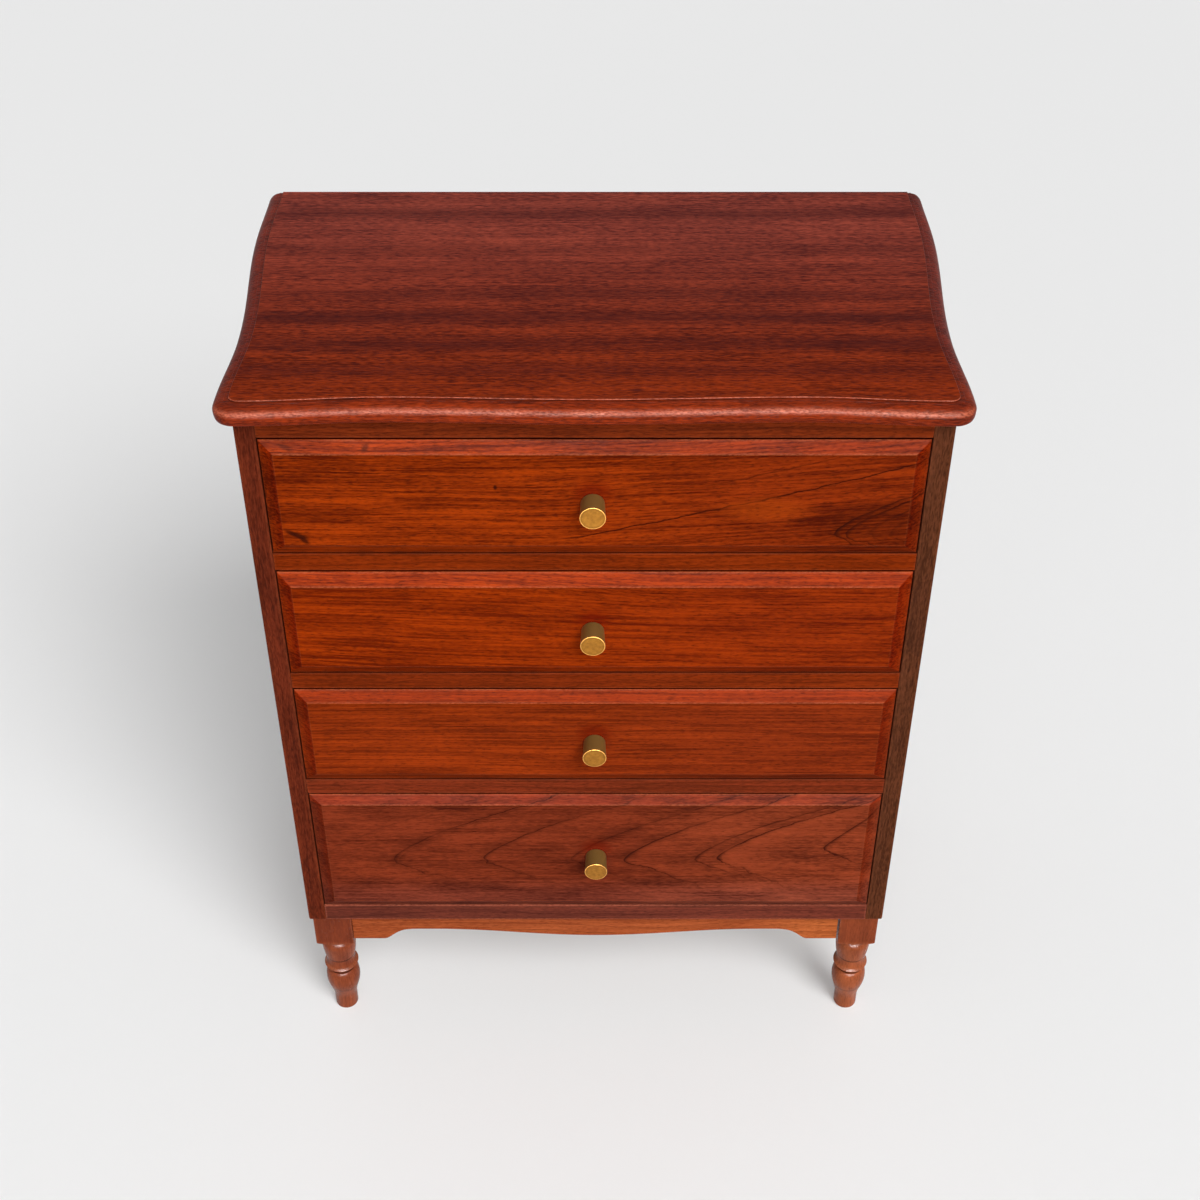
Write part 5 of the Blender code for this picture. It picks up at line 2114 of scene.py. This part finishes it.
def foot_finishes() -> dict[str, Timber]:
    """Finishes of the apron and the legs, which are lighter than the case.

    Returns:
        The finishes, by name.
    """
    apron = toned(
        "apron_mahogany",
        ((134, 60, 30), (176, 90, 49), (96, 40, 20)),
        figure=RingFigure(pith=(0.3, -0.3), pitch=0.009, sharpness=3.0),
        figure_depth=0.35,
        drifts=(Drift((1.28, 1.45, 1.3), Axis.X, 0.20, 0.30),),
    )
    leg = toned(
        "leg_mahogany",
        ((110, 48, 25), (158, 79, 46), (66, 28, 16)),
        run=Run.Z,
        figure=RingFigure(pith=(0.4, -0.2), pitch=0.008),
        figure_depth=0.15, broad=0.6, mottle=1.2, streak=0.8, fleck=0.8, pore_depth=0.25,
        # The worn tone also paints the highlight on the ring's lip.
        worn=shade(206, 140, 104), wear=0.45, glossy=0.21, dull=0.31, specular=0.080, turned=True,
        drifts=(
            Drift((0.70, 0.54, 0.41), Axis.Z, 0.146, 0.156),
            Drift((1.18, 1.32, 1.30), Axis.X, -0.2, 0.2),
        ),
    )
    return {"apron": apron, "leg": leg}


def inside_finishes() -> dict[str, Timber]:
    """Finishes of the plain boards inside and behind: straight hardwood, and broad figure on the panels.

    Returns:
        The finishes, by the family of nodes that they dress.
    """
    boards = {
        "runner": ((188, 140, 94), Run.Y),
        "drawer_side": ((190, 142, 96), Run.Y),
        "drawer_back": ((190, 142, 96), Run.X),
    }
    finishes = {}
    for name, (pale, run) in boards.items():
        tones = ((150, 104, 66), pale, (110, 74, 46))
        figure = RingFigure(pitch=0.007)
        finishes[name] = toned(f"{name}_hardwood", tones, run=run, figure=figure, glossy=0.5, dull=0.7)
    finishes["board"] = toned(
        "back_board",
        ((128, 86, 54), (166, 118, 78), (92, 60, 38)),
        figure=RingFigure(pith=(0.1, -1.4), pitch=0.030, slow=0.12, sharpness=3.0),
        glossy=0.55, dull=0.75,
    )
    return finishes


def timber_finishes() -> dict[str, bpy.types.Material]:
    """Builds every wood finish.

    Returns:
        The materials, by the name of the node or the family of nodes that they dress.
    """
    makers = (veined_front, bright_front, red_front, arched_front)
    fronts = {f"drawer_{number}_front": make() for number, make in zip(DRAWER_NUMBERS, makers)}
    finishes = {**top_finishes(), **fronts, **case_finishes(), **foot_finishes(), **inside_finishes()}
    return {name: finish.material() for name, finish in finishes.items()}


def main() -> None:
    """Builds and dresses the tallboy and sets the stage."""
    logging.basicConfig(level=logging.INFO, format="%(name)s: %(message)s")
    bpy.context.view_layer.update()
    wood = timber_finishes()
    brass_tones = ((179, 122, 48), (134, 89, 36), (138, 111, 57), (230, 186, 116))
    steel_tones = ((170, 170, 172), (120, 120, 122), (150, 150, 152), (196, 196, 198))
    brass = Metal("knob_brass", *(shade(*tone) for tone in brass_tones)).material()
    steel = Metal("screw_steel", *(shade(*tone) for tone in steel_tones)).material()
    TopSlab().build(wood["top_slab"], wood["moulding"])
    SidePanels().build(wood)
    rails = ("top_rail", "drawer_rail_1", "drawer_rail_2", "drawer_rail_3", "base_rail")
    CrossRails().build({name: wood[name] for name in rails})
    Apron().build(wood["apron"])
    TurnedLegs().build(wood["leg"])
    for number in DRAWER_NUMBERS:
        drawer = Drawer(number)
        drawer.build_front(wood[f"{drawer.body}_front"])
        drawer.build_knob(brass)
    InsideTimber(
        {
            "screw": steel,
            "rear_top_rail": wood["rear_rail"],
            "rear_base_rail": wood["rear_rail"],
            "runner": wood["runner"],
            "kicker": wood["runner"],
            "back_panel": wood["board"],
            "bottom": wood["board"],
            "_back": wood["drawer_back"],
            "_side": wood["drawer_side"],
        }
    ).dress()
    Studio().build()


if __name__ == "__main__":
    main()
